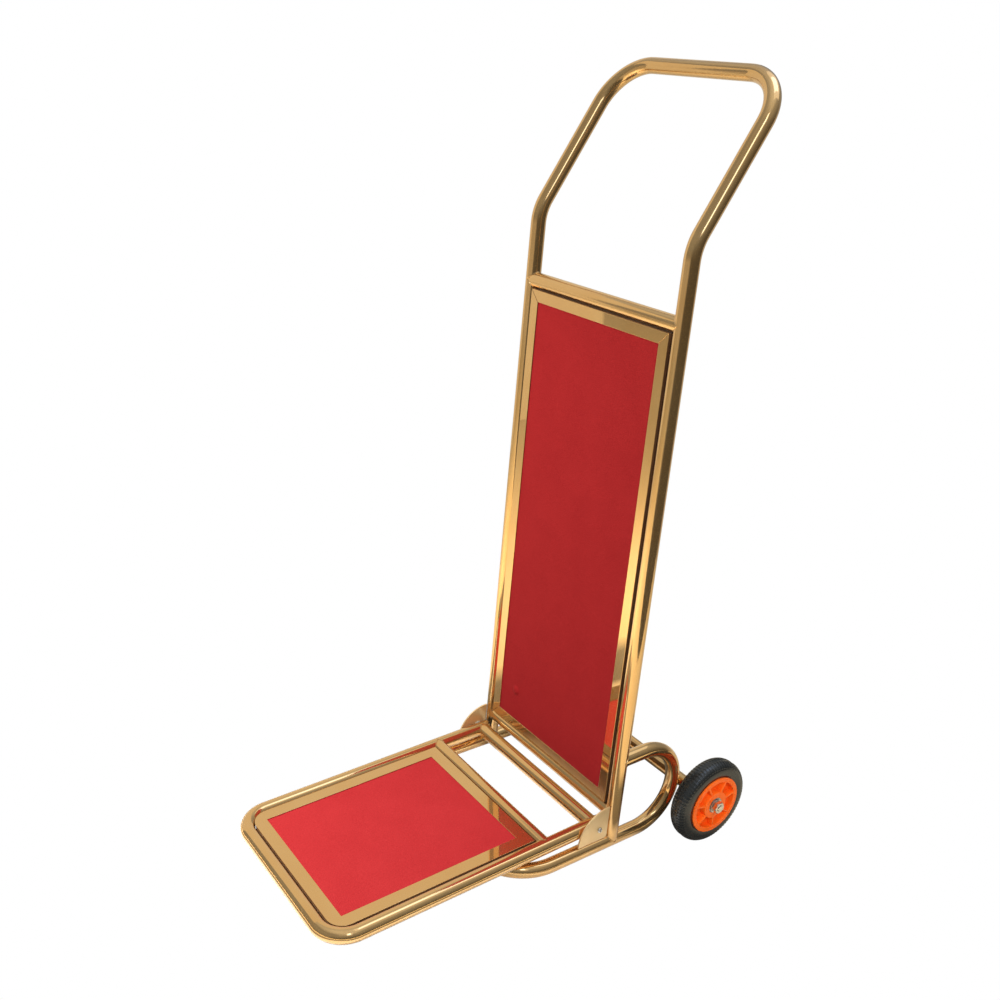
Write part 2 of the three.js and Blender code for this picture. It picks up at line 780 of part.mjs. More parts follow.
function axleWasher(side) {
  const profile = ringProfile(
    axleRodRadius + boltSlack, axleWasherRadius, 0, axleWasherThickness);
  return turned(profile, side, wheelMiddle + hubEnd + seam, axleReach, axleHeight);
}

function axleNut(side) {
  const from = wheelMiddle + hubEnd + 2 * seam + axleWasherThickness;
  const corner = axleNutAcrossFlats / 2 / Math.cos(Math.PI / 6);
  const shape = new THREE.Shape(circle(corner, 6));
  shape.holes.push(new THREE.Path(circle(axleRodRadius + boltSlack, smallFacets)));
  return sweep(shape, [
    { at: point(side * from, axleReach, axleHeight) },
    { at: point(side * (from + axleNutHeight), axleReach, axleHeight) },
  ]);
}

add('axle_rod', solidRod(
  point(-rodEnd, axleReach, axleHeight), point(rodEnd, axleReach, axleHeight), axleRodRadius),
nickelSteel);

for (const [name, side] of [['left', -1], ['right', 1]]) {
  add(`tyre_${name}`, tyre(side), blackRubber);
  add(`wheel_hub_${name}`, hub(side), orangePlastic);
  add(`wheel_bearing_inner_${name}`, bearing(side, -1), zincSteel);
  add(`wheel_bearing_outer_${name}`, bearing(side, 1), zincSteel);
  add(`axle_bush_${name}`, axleBush(side), nylon);
  add(`axle_washer_${name}`, axleWasher(side), nickelSteel);
  add(`axle_nut_${name}`, axleNut(side), nickelSteel);
}

export default cart;
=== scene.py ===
"""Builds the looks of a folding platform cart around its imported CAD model.

Laid out as an add-on and run as a script: properties hold the sizes and colours, each piece or
group of like pieces has an operator, and a panel in the sidebar of the 3D view lists them.
"""

import json
import math

import bpy
from mathutils import Matrix, Vector


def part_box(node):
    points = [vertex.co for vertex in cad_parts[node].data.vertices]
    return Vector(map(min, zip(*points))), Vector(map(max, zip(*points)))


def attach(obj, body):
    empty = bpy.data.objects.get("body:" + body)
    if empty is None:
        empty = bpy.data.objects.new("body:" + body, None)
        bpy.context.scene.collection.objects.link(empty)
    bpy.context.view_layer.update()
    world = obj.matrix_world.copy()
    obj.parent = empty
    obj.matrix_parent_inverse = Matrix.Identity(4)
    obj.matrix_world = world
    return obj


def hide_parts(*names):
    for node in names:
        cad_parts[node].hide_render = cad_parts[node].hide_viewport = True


bl_info = {
    "name": "Folding Platform Cart",
    "version": (1, 0, 0),
    "blender": (4, 5, 0),
    "location": "View3D > Sidebar > Cart",
    "description": "Builds a folding platform cart around its CAD frame",
    "category": "Add Mesh",
}

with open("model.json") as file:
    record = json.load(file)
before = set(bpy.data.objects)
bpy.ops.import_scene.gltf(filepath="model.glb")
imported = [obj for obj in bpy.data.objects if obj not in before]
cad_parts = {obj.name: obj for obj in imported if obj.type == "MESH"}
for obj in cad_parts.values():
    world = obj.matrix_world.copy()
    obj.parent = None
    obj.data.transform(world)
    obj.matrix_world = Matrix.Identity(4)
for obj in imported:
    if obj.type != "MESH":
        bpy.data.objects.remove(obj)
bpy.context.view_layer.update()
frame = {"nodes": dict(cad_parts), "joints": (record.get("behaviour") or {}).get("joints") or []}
SIDES = {"left": -1, "right": 1}


# ------------------------------------------------------------------ properties


def size(name, description, default):
    return bpy.props.FloatProperty(
        name=name, description=description, default=default, min=0, precision=5,
        subtype="DISTANCE", unit="LENGTH",
    )


def turn(name, description, degrees):
    return bpy.props.FloatProperty(
        name=name, description=description, default=math.radians(degrees),
        subtype="ANGLE", unit="ROTATION",
    )


def colour(name, description, default):
    return bpy.props.FloatVectorProperty(
        name=name, description=description, default=default, size=3, min=0, max=1,
        subtype="COLOR",
    )


def count(name, description, default):
    return bpy.props.IntProperty(name=name, description=description, default=default, min=3)


class TubeSizes(bpy.types.PropertyGroup):
    """Sizes of the bent tubes."""

    radius: size("Tube radius", "Outside radius of the frame's tubes", 0.0125)
    axle_radius: size("Axle tube radius", "Outside radius of the axle tube", 0.011)
    handle_angle: turn("Handle angle", "Angle of the grip's sides from vertical", 33.3)
    handle_bend: size("Handle bend", "Bend radius at the foot of the grip", 0.075)
    handle_corner: size("Grip corner", "Bend radius at the grip's two corners", 0.075)
    base_corner: size("Base corner", "Bend radius at the front of the base", 0.09)
    platform_corner: size("Platform corner", "Bend radius at the front of the platform", 0.047)
    weld: size("Weld bead", "Radius of the bead around a welded joint", 0.0009)
    joint_gap: size("Joint gap", "From a branch tube's end to the middle of its main tube", 0.0004)
    facets: count("Facets", "Facets around a tube", 56)


class PanelSizes(bpy.types.PropertyGroup):
    """Sizes of the two carpeted panels."""

    deck_trim: size("Deck trim width", "Width of the platform's trim", 0.022)
    trim_edge: size("Trim edge", "Rounding of the trim's folded edge", 0.0006)
    felt_lap: size("Felt lap", "How far the felt runs under the trim", 0.010)
    felt_grid: size("Felt grid", "Size of the felt's mesh", 0.004)
    felt_swell: size("Felt swell", "Unevenness of the felt's face", 0.0002)
    bump_across: size("Bump place", "Bump left of the back felt's middle", 0.102)
    bump_up: size("Bump height place", "Bump above the back felt's lower edge", 0.077)
    bump_radius: size("Bump radius", "Radius of the bump in the back felt", 0.0075)
    bump_height: size("Bump height", "Height of the bump in the back felt", 0.0030)


class WheelSizes(bpy.types.PropertyGroup):
    """Sizes of the wheels."""

    radius: size("Wheel radius", "Outside radius of the tyre", 0.076)
    tread_depth: size("Tread depth", "Height of the tread lugs", 0.0008)
    lugs: count("Lugs", "Lugs in one row around the tyre", 76)
    bead: size("Bead radius", "Inside radius of the tyre", 0.0503)
    tyre_width: size("Tyre width", "Width of the tyre", 0.036)
    flange: size("Flange radius", "Outside radius of the hub's flange", 0.052)
    rim: size("Rim radius", "Inside radius of the hub's rim", 0.0437)
    boss: size("Boss radius", "Outside radius of the hub's boss", 0.0250)
    hub_width: size("Hub width", "Width of the hub", 0.04)
    web: size("Web depth", "How deep the pockets are", 0.0115)
    ribs: count("Ribs", "Ribs between the boss and the rim", 7)
    rib_width: size("Rib width", "Width of a rib", 0.0042)
    washer: size("Washer radius", "Outside radius of the axle washer", 0.012)
    rod: size("Rod radius", "Radius of the axle rod", 0.006)


class CartColours(bpy.types.PropertyGroup):
    """Colours of the finishes."""

    gold: colour("Gold", "Polished gold", (0.90, 0.56, 0.225))
    warm_gold: colour("Warm gold", "Polished gold where it is thicker", (0.87, 0.51, 0.185))
    satin_gold: colour("Satin gold", "Gusset plates and tabs", (0.98, 0.74, 0.42))
    deck_felt: colour("Deck felt", "Felt on the platform", (0.425, 0.0275, 0.0295))
    deck_fibre: colour("Deck fibre", "Darker fibres in the platform's felt", (0.31, 0.014, 0.016))
    back_felt: colour("Back felt", "Felt on the back", (0.280, 0.0145, 0.0155))
    back_fibre: colour("Back fibre", "Darker fibres in the back's felt", (0.195, 0.0075, 0.0088))
    rubber: colour("Rubber", "Tyres and bumpers", (0.012, 0.0135, 0.014))
    orange: colour("Orange", "Wheel hubs", (1.0, 0.150, 0.010))
    nickel: colour("Nickel", "Axle nuts and bolts", (0.86, 0.80, 0.72))
    zinc: colour("Zinc", "Screws, bearings and sleeves", (0.62, 0.62, 0.61))
    wood: colour("Wood", "Board", (0.10, 0.048, 0.022))
    nylon: colour("Nylon", "Washers and bushes", (0.70, 0.66, 0.56))
    plastic: colour("Plastic", "Rail caps", (0.012, 0.012, 0.013))


def tubes():
    return bpy.context.scene.cart_tubes


def panels():
    return bpy.context.scene.cart_panels


def wheels():
    return bpy.context.scene.cart_wheels


def colours():
    return bpy.context.scene.cart_colours


# ------------------------------------------------------------------ places from the frame


def middle(node):
    low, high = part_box(node)
    return (low + high) / 2


def joint_place(name):
    return Vector(next(j["pos_m"] for j in frame["joints"] if j["name"] == name))


def plane(origin, along):
    """A frame with X across the cart, Y along the given direction and Z out of the plane."""
    across = Vector((1, 0, 0))
    along = along.normalized()
    out = across.cross(along)
    turned = Matrix((across, along, out)).transposed().to_4x4()
    return Matrix.Translation(origin) @ turned


def deck_plane():
    pivot = joint_place("platform_fold")
    return plane(pivot, pivot - middle("platform_middle_crossbar"))


def back_plane():
    bottom = middle("back_bottom_crossbar")
    return plane(bottom, middle("back_top_crossbar") - bottom)


def plate(node, place):
    """Lowest and highest corner of a thin flat node in its plane's own frame."""
    low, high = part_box(node)
    spot = place.inverted() @ ((low + high) / 2)
    along = place.to_3x3().col[1]
    deep, tall = (high - low).y, (high - low).z
    cosine, sine = abs(along.y), abs(along.z)
    if sine > cosine:
        deep, tall, cosine, sine = tall, deep, sine, cosine
    square = cosine ** 2 - sine ** 2
    length = (deep * cosine - tall * sine) / square
    thick = (tall * cosine - deep * sine) / square
    half = Vector(((high - low).x, length, thick)) / 2
    return spot - half, spot + half


def upright_offset():
    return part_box("handle_frame_tube")[1].x - tubes().radius


def rail_offset():
    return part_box("platform_tube")[1].x - tubes().radius


# ------------------------------------------------------------------ modelling steps


def deselect():
    if bpy.context.mode != "OBJECT":
        bpy.ops.object.mode_set(mode="OBJECT")
    bpy.ops.object.select_all(action="DESELECT")


def activate(piece):
    deselect()
    piece.select_set(True)
    bpy.context.view_layer.objects.active = piece


def new_piece(name):
    """Names the primitive that was just added and puts its place into its mesh."""
    piece = bpy.context.active_object
    piece.name = name
    piece.data.name = name
    activate(piece)
    bpy.ops.object.transform_apply()
    return piece


def edit(piece, kind="VERT"):
    activate(piece)
    bpy.ops.object.mode_set(mode="EDIT")
    bpy.ops.mesh.select_mode(type=kind)
    bpy.ops.mesh.select_all(action="SELECT")


def select_faces(piece, wanted):
    """Goes to edit mode with only the faces selected that pass the test."""
    edit(piece, "FACE")
    bpy.ops.mesh.select_all(action="DESELECT")
    bpy.ops.object.mode_set(mode="OBJECT")
    for face in piece.data.polygons:
        face.select = wanted(face)
    bpy.ops.object.mode_set(mode="EDIT")


def extrude(offset):
    bpy.ops.mesh.extrude_region_move(TRANSFORM_OT_translate={"value": offset})


def clean(piece):
    """Merges doubles and points every face outwards."""
    edit(piece)
    bpy.ops.mesh.remove_doubles(threshold=1e-6)
    bpy.ops.mesh.delete_loose()
    bpy.ops.mesh.select_all(action="SELECT")
    bpy.ops.mesh.normals_make_consistent(inside=False)
    deselect()


def apply(piece, kind, **settings):
    """Adds a modifier and applies it."""
    modifier = piece.modifiers.new("step", kind)
    for name, value in settings.items():
        setattr(modifier, name, value)
    activate(piece)
    bpy.ops.object.modifier_apply(modifier=modifier.name)


def rounded(piece, width, segments=3, angle=40):
    apply(
        piece, "BEVEL", width=width, segments=segments, limit_method="ANGLE",
        angle_limit=math.radians(angle),
    )


def cut(piece, cutter):
    apply(piece, "BOOLEAN", operation="DIFFERENCE", solver="EXACT", object=cutter)
    bpy.data.objects.remove(cutter)


def rod(name, start, end, radius, facets=56):
    """A round rod between two points."""
    start, end = Vector(start), Vector(end)
    bpy.ops.mesh.primitive_cylinder_add(
        vertices=facets, radius=radius, depth=(end - start).length,
        location=(start + end) / 2, rotation=(end - start).to_track_quat("Z", "Y").to_euler(),
    )
    return new_piece(name)


def bent_tube(name, corners, radius, step=math.radians(3)):
    """A tube through (point, bend radius) corners, bent round at each inner one."""
    points = [Vector(point) for point, _ in corners]
    heading = (points[1] - points[0]).normalized()
    bpy.ops.mesh.primitive_circle_add(
        vertices=tubes().facets, radius=radius, location=points[0],
        rotation=heading.to_track_quat("Z", "Y").to_euler(),
    )
    tube = new_piece(name)
    edit(tube, "EDGE")
    reached = points[0]
    for before, corner, after, (_, bend) in zip(points, points[1:], points[2:], corners[1:]):
        into = (corner - before).normalized()
        out = (after - corner).normalized()
        angle = into.angle(out)
        setback = bend * math.tan(angle / 2)
        start = corner - into * setback
        if (start - reached).length > 1e-5:
            extrude(start - reached)
        axis = into.cross(out).normalized()
        bpy.ops.mesh.spin(
            steps=math.ceil(angle / step), angle=-angle, axis=axis,
            center=start + axis.cross(into) * bend,
        )
        reached = corner + out * setback
    if (points[-1] - reached).length > 1e-5:
        extrude(points[-1] - reached)
    bpy.ops.mesh.select_all(action="SELECT")
    bpy.ops.mesh.fill_holes(sides=0)
    clean(tube)
    return tube


def lathe(name, profile, centre, side=1, steps=96):
    """A closed outline of (radius, distance outwards) turned about the wheels' axis."""
    bpy.ops.mesh.primitive_circle_add(vertices=len(profile), radius=1)
    piece = new_piece(name)
    for vertex, (radius, outwards) in zip(piece.data.vertices, profile):
        vertex.co = Vector(centre) + Vector((side * outwards, 0, radius))
    edit(piece)
    bpy.ops.mesh.spin(steps=steps, angle=2 * math.pi, axis=(1, 0, 0), center=centre)
    clean(piece)
    return piece


def repeated(number, centre):
    """Repeats what is selected in edit mode evenly around the axle."""
    bpy.ops.mesh.spin(
        dupli=True, steps=number - 1, angle=2 * math.pi * (number - 1) / number,
        axis=(1, 0, 0), center=centre)
    deselect()


def copied(piece, name, place=None):
    """A copy of a piece with its own mesh, moved by a matrix where one is given."""
    copy = piece.copy()
    copy.data = piece.data.copy()
    copy.name = name
    copy.data.name = name
    bpy.context.scene.collection.objects.link(copy)
    if place is not None:
        copy.data.transform(place)
        if place.determinant() < 0:
            copy.data.flip_normals()
    return copy


MIRROR = Matrix.Scale(-1, 4, (1, 0, 0))


def joined(pieces, name):
    deselect()
    for piece in pieces:
        piece.select_set(True)
    bpy.context.view_layer.objects.active = pieces[0]
    bpy.ops.object.join()
    piece = bpy.context.active_object
    piece.name = name
    piece.data.name = name
    return piece


def finish(piece, material, slot, body, *nodes, sharp=35, flat=False):
    """Shades a piece, gives it its material and hands it to the frame."""
    activate(piece)
    bpy.ops.object.shade_smooth_by_angle(angle=math.radians(sharp))
    if flat:
        apply(piece, "WEIGHTED_NORMAL", keep_sharp=True, weight=80)
    piece.data.materials.clear()
    piece.data.materials.append(material)
    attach(piece, body)
    if nodes:
        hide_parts(*nodes)
    return piece


# ------------------------------------------------------------------ shader maths


class Value:
    """A shader socket in an expression; arithmetic on it adds Math nodes."""

    def __init__(self, graph, socket):
        self.graph = graph
        self.socket = socket

    def joined(self, operation, first, second):
        return self.graph.node("ShaderNodeMath", {"operation": operation}, {0: first, 1: second})

    def __add__(self, other):
        return self.joined("ADD", self, other)

    def __sub__(self, other):
        return self.joined("SUBTRACT", self, other)

    def __rsub__(self, other):
        return self.joined("SUBTRACT", other, self)

    def __mul__(self, other):
        return self.joined("MULTIPLY", self, other)

    __radd__ = __add__
    __rmul__ = __mul__


class Graph:
    """The node tree of one material or world."""

    def __init__(self, tree):
        self.tree = tree
        tree.nodes.clear()

    def node(self, kind, settings=None, inputs=None, output=0):
        node = self.tree.nodes.new(kind)
        for name, value in (settings or {}).items():
            if name == "stops":
                self.set_stops(node.color_ramp, value)
            else:
                setattr(node, name, value)
        for name, value in (inputs or {}).items():
            if isinstance(value, Value):
                self.tree.links.new(value.socket, node.inputs[name])
            else:
                node.inputs[name].default_value = value
        return Value(self, node.outputs[output]) if len(node.outputs) else node

    def set_stops(self, ramp, stops):
        while len(ramp.elements) < len(stops):
            ramp.elements.new(1)
        for element, (position, tone) in zip(ramp.elements, stops):
            element.position = position
            element.color = tone if len(tone) == 4 else (*tone, 1)

    def place(self):
        return self.node("ShaderNodeTexCoord", output="Object")

    def noise(self, scale, detail=3, roughness=0.5, stretch=None, place=None):
        place = place or self.place()
        if stretch is not None:
            place = self.node("ShaderNodeMapping", {}, {"Vector": place, "Scale": stretch})
        return self.node(
            "ShaderNodeTexNoise", {},
            {"Vector": place, "Scale": scale, "Detail": detail, "Roughness": roughness},
        )

    def grey(self, value, stops):
        """A value taken through a ramp of grey stops."""
        tones = [(position, (tone, tone, tone)) for position, tone in stops]
        return self.node("ShaderNodeValToRGB", {"stops": tones}, {"Fac": value})

    def mix(self, factor, first, second):
        return self.node(
            "ShaderNodeMix", {"data_type": "RGBA"}, {0: factor, 6: first, 7: second}, output=2
        )

    def vector(self, operation, first, second=(0, 0, 0), output=0):
        return self.node("ShaderNodeVectorMath", {"operation": operation},
                         {0: first, 1: second}, output)

    def absolute(self, value):
        return self.node("ShaderNodeMath", {"operation": "ABSOLUTE"}, {0: value})

    def bump(self, height, strength, distance):
        return self.node(
            "ShaderNodeBump", {},
            {"Height": height, "Strength": strength, "Distance": distance},
        )

    def surface(self, **inputs):
        named = {name.replace("_", " "): value for name, value in inputs.items()}
        shader = self.node("ShaderNodeBsdfPrincipled", {}, named)
        self.node("ShaderNodeOutputMaterial", {}, {"Surface": shader})


def solid(tone):
    return (*tone, 1)


def material(name):
    """The finish of that name, made the first time it is asked for."""
    label = f"cart_{name}"
    made = bpy.data.materials.get(label)
    if made is None:
        made = bpy.data.materials.new(label)
        made.use_nodes = True
        FINISHES[name](Graph(made.node_tree))
    return made


# ------------------------------------------------------------------ finishes


def gold(graph, roughness, ripple, wear):
    haze = graph.noise(9, 5, 0.6)
    smear = graph.noise(38, 4, 0.7, stretch=(1, 1, 0.35))
    waves = graph.noise(24, 2, 0.5)
    scratch = graph.noise(900, 2, 0.6, stretch=(1, 1, 0.08))
    tone = graph.mix(
        graph.grey(haze, [(0.38, 0.0), (0.68, 1.0)]),
        solid(colours().gold), solid(colours().warm_gold),
    )
    worn = graph.grey(smear, [(0.5, 0.0), (0.78, 1.0)])
    graph.surface(
        Base_Color=tone, Metallic=0.95, Roughness=worn * wear + roughness,
        Coat_Weight=1.0, Coat_Roughness=0.22,
        Normal=graph.bump(waves * 0.8 + scratch * 0.03, ripple, 0.0006),
    )


def polished_gold(graph):
    gold(graph, 0.07, 0.18, 0.06)


def mirror_gold(graph):
    gold(graph, 0.025, 0.05, 0.035)


def satin_gold(graph):
    grain = graph.noise(420, 3, 0.6, stretch=(1, 0.06, 1))
    haze = graph.noise(30, 4, 0.6)
    graph.surface(
        Base_Color=graph.mix(haze, solid(colours().satin_gold), solid(colours().gold)),
        Metallic=0.72, Roughness=haze * 0.12 + 0.30,
        Normal=graph.bump(grain, 0.18, 0.0003),
    )


def felt(graph, tone, fibre, sheen):
    fine = graph.noise(1500, 3, 0.7)
    hair = graph.noise(620, 4, 0.65, stretch=(1, 1, 1))
    cloud = graph.noise(14, 3, 0.55)
    cells = graph.node(
        "ShaderNodeTexVoronoi", {"feature": "F1"}, {"Vector": graph.place(), "Scale": 700}
    )
    pattern = fine * 0.45 + hair * 0.43 + cloud * 0.12
    mixed = graph.mix(graph.grey(pattern, [(0.38, 1.0), (0.62, 0.0)]), solid(tone), solid(fibre))
    graph.surface(
        Base_Color=mixed, Roughness=0.92, Specular_IOR_Level=0.15, Sheen_Weight=sheen,
        Sheen_Roughness=0.45, Sheen_Tint=solid([min(1, c * 1.4 + 0.08) for c in tone]),
        Normal=graph.bump(hair * 0.6 + cells * 0.5, 0.55, 0.0006),
    )


def deck_felt(graph):
    felt(graph, colours().deck_felt, colours().deck_fibre, 0.12)


def back_felt(graph):
    felt(graph, colours().back_felt, colours().back_fibre, 0.08)


def tyre_rubber(graph):
    grain = graph.noise(700, 3, 0.6)
    dust = graph.grey(graph.noise(55, 5, 0.7), [(0.5, 0.0), (0.85, 1.0)])
    dusty = solid([c * 2.5 + 0.01 for c in colours().rubber])
    graph.surface(
        Base_Color=graph.mix(dust * 0.5, solid(colours().rubber), dusty),
        Roughness=dust * 0.2 + 0.22, Specular_IOR_Level=0.75,
        Normal=graph.bump(grain, 0.25, 0.0003),
    )


def black_plastic(graph):
    grain = graph.noise(900, 2, 0.5)
    graph.surface(
        Base_Color=graph.mix(grain, solid(colours().plastic), solid(colours().rubber)),
        Roughness=grain * 0.2 + 0.4, Normal=graph.bump(grain, 0.2, 0.0002),
    )


def orange_plastic(graph):
    cloud = graph.noise(22, 3, 0.5)
    grain = graph.noise(800, 2, 0.5)
    deep = solid([colours().orange[0] * 0.86, colours().orange[1] * 0.7, 0.006])
    # Painted shade: a darker copy of the orange stands in for the shade that falls in the hub's
    # pockets.
    shaded = solid([colours().orange[0] * 0.62, colours().orange[1] * 0.36, 0.003])
    across = graph.node("ShaderNodeSeparateXYZ", {}, {"Vector": graph.place()}, output="X")
    outward = graph.absolute(graph.absolute(across) - joint_place("wheel_spin_right").x)
    skin = graph.mix(graph.grey(cloud, [(0.4, 0.0), (0.75, 0.7)]), solid(colours().orange), deep)
    # Painted shade: the face is mixed halfway to the darker copy near the wheel's middle plane,
    # where the pocket floors lie, and keeps its own orange at the rim and boss.
    graph.surface(
        Base_Color=graph.mix(graph.grey(outward * 40, [(0.36, 0.5), (0.76, 0.0)]), skin, shaded),
        Roughness=cloud * 0.15 + 0.36, Specular_IOR_Level=0.35,
        Subsurface_Weight=0.05, Subsurface_Scale=0.002,
        Normal=graph.bump(grain, 0.12, 0.0002),
    )


def metal(graph, tone, roughness):
    grain = graph.noise(500, 3, 0.6, stretch=(0.15, 1, 1))
    haze = graph.noise(60, 4, 0.6)
    dull = solid([c * 0.7 for c in tone])
    graph.surface(
        Base_Color=graph.mix(graph.grey(haze, [(0.45, 0.0), (0.8, 1.0)]), solid(tone), dull),
        Metallic=1.0, Roughness=haze * 0.2 + roughness,
        Normal=graph.bump(grain, 0.2, 0.0002),
    )


def nickel_steel(graph):
    metal(graph, colours().nickel, 0.16)


def zinc_steel(graph):
    metal(graph, colours().zinc, 0.32)


def film_faced_wood(graph):
    grain = graph.noise(60, 5, 0.65, stretch=(1, 0.07, 0.07))
    mesh = graph.noise(900, 2, 0.5)
    light = solid([c * 1.9 for c in colours().wood])
    graph.surface(
        Base_Color=graph.mix(graph.grey(grain, [(0.35, 0.0), (0.7, 0.8)]),
                             solid(colours().wood), light),
        Roughness=grain * 0.2 + 0.45, Normal=graph.bump(grain * 0.7 + mesh * 0.3, 0.25, 0.0004),
    )


def white_nylon(graph):
    cloud = graph.noise(200, 3, 0.5)
    shade = solid([c * 0.8 for c in colours().nylon])
    graph.surface(
        Base_Color=graph.mix(cloud, solid(colours().nylon), shade), Roughness=cloud * 0.1 + 0.4,
        Subsurface_Weight=0.1, Subsurface_Scale=0.002, Normal=graph.bump(cloud, 0.1, 0.0002),
    )


FINISHES = {
    "polished_gold": polished_gold,
    "mirror_gold": mirror_gold,
    "satin_gold": satin_gold,
    "deck_felt": deck_felt,
    "back_felt": back_felt,
    "tyre_rubber": tyre_rubber,
    "black_plastic": black_plastic,
    "orange_plastic": orange_plastic,
    "nickel_steel": nickel_steel,
    "zinc_steel": zinc_steel,
    "film_faced_wood": film_faced_wood,
    "white_nylon": white_nylon,
}


def gold_piece(piece, body, *nodes, flat=False, look="polished_gold"):
    return finish(piece, material(look), "polished_gold", body, *nodes, flat=flat)


# ------------------------------------------------------------------ tubes


class CART_OT_handle(bpy.types.Operator):
    """Bend the handle frame's tube, with its feet in the base tube."""

    bl_idname = "cart.handle"
    bl_label = "Handle Frame"

    def execute(self, context):
        sizes = tubes()
        offset = upright_offset()
        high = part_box("handle_frame_tube")[1]
        grip = Vector((0, high.y - sizes.radius, high.z - sizes.radius))
        slant = Vector((0, math.sin(sizes.handle_angle), math.cos(sizes.handle_angle)))
        bottom = middle("back_bottom_crossbar")
        up = (middle("back_top_crossbar") - bottom).normalized()
        foot = bottom - up * ((bottom.z - sizes.radius) / up.z)
        rise = ((grip - foot).y * slant.z - (grip - foot).z * slant.y) / (
            up.y * slant.z - up.z * slant.y)
        bend = foot + up * rise
        side = Vector((offset, 0, 0))
        foot += up * sizes.joint_gap
        tube = bent_tube("polished_handle_tube", [
            (foot - side, 0), (bend - side, sizes.handle_bend),
            (grip - side, sizes.handle_corner), (grip + side, sizes.handle_corner),
            (bend + side, sizes.handle_bend), (foot + side, 0),
        ], sizes.radius)
        gold_piece(tube, "frame", "handle_frame_tube")
        return {"FINISHED"}


class CART_OT_base(bpy.types.Operator):
    """Bend the base tube with its two rear loops."""

    bl_idname = "cart.base"
    bl_label = "Base Tube"

    def execute(self, context):
        sizes = tubes()
        radius = sizes.radius
        offset = upright_offset()
        low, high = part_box("base_tube")
        front, back, top = low.y + radius, high.y - radius, high.z - radius
        loop = (top - radius) / 2
        bottom = middle("back_bottom_crossbar")
        up = (middle("back_top_crossbar") - bottom).normalized()
        start = (bottom + up * ((top - bottom.z) / up.z)).y + sizes.joint_gap
        half = [
            (Vector((offset, start, top)), 0),
            (Vector((offset, back, top)), loop),
            (Vector((offset, back, radius)), loop),
            (Vector((offset, front, radius)), sizes.base_corner),
        ]
        left = [(Vector((-point.x, point.y, point.z)), bend) for point, bend in half]
        tube = bent_tube("polished_base_tube", left + half[::-1], radius)
        gold_piece(tube, "frame", "base_tube")
        low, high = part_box("axle_tube")
        centre = middle("axle_tube")
        end = Vector((high.x, 0, 0))
        axle = rod("polished_axle_tube", centre - end, centre + end, sizes.axle_radius)
        rounded(axle, 0.0005)
        gold_piece(axle, "frame", "axle_tube", flat=True)
        return {"FINISHED"}


def crossbar(name, node, body, offset):
    """A straight tube that runs just short of the middle of the two tubes beside it."""
    centre = middle(node)
    side = Vector((offset - tubes().joint_gap, 0, 0))
    bar = rod(name, centre - side, centre + side, tubes().radius)
    return gold_piece(bar, body, node)


class CART_OT_crossbars(bpy.types.Operator):
    """Set the four crossbars between their side tubes."""

    bl_idname = "cart.crossbars"
    bl_label = "Crossbars"

    def execute(self, context):
        for end in ("top", "bottom"):
            crossbar(f"polished_back_{end}_bar", f"back_{end}_crossbar", "frame",
                     upright_offset())
        for place in ("middle", "hinge"):
            crossbar(f"polished_platform_{place}_bar", f"platform_{place}_crossbar", "platform",
                     rail_offset())
        return {"FINISHED"}


class CART_OT_platform_tube(bpy.types.Operator):
    """Bend the platform's tube."""

    bl_idname = "cart.platform_tube"
    bl_label = "Platform Tube"

    def execute(self, context):
        sizes = tubes()
        place = deck_plane()
        low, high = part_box("platform_tube")
        along = place.to_3x3().col[1]
        pivot = place.translation
        front = pivot + along * ((low.y + sizes.radius - pivot.y) / along.y)
        rear = pivot + along * ((high.y - pivot.y) / along.y)
        side = Vector((rail_offset(), 0, 0))
        tube = bent_tube("polished_platform_tube", [
            (rear - side, 0), (front - side, sizes.platform_corner),
            (front + side, sizes.platform_corner), (rear + side, 0),
        ], sizes.radius)
        gold_piece(tube, "platform", "platform_tube")
        return {"FINISHED"}


def weld_bead(name, centre, branch, main, body, side_radius):
    """A bead along the line where a branch tube meets a main tube of the frame's radius."""
    radius = tubes().radius
    branch, main = branch.normalized(), main.normalized()
    across = branch.cross(main).normalized()
    along = across.cross(branch)
    bpy.ops.mesh.primitive_circle_add(vertices=96, radius=side_radius)
    bead = new_piece(name)
    for index, vertex in enumerate(bead.data.vertices):
        angle = 2 * math.pi * index / 96
        spot = across * (side_radius * math.cos(angle)) + along * (side_radius * math.sin(angle))
        aside = side_radius * math.cos(angle)
        depth = math.sqrt(max(0, radius ** 2 - aside ** 2))
        vertex.co = centre + spot + branch * (depth / branch.cross(main).length)
    activate(bead)
    bpy.ops.object.convert(target="CURVE")
    bead = bpy.context.active_object
    bead.data.bevel_depth = tubes().weld
    bead.data.bevel_resolution = 3
    bpy.ops.object.convert(target="MESH")
    bead = bpy.context.active_object
    clean(bead)
    return gold_piece(bead, body)


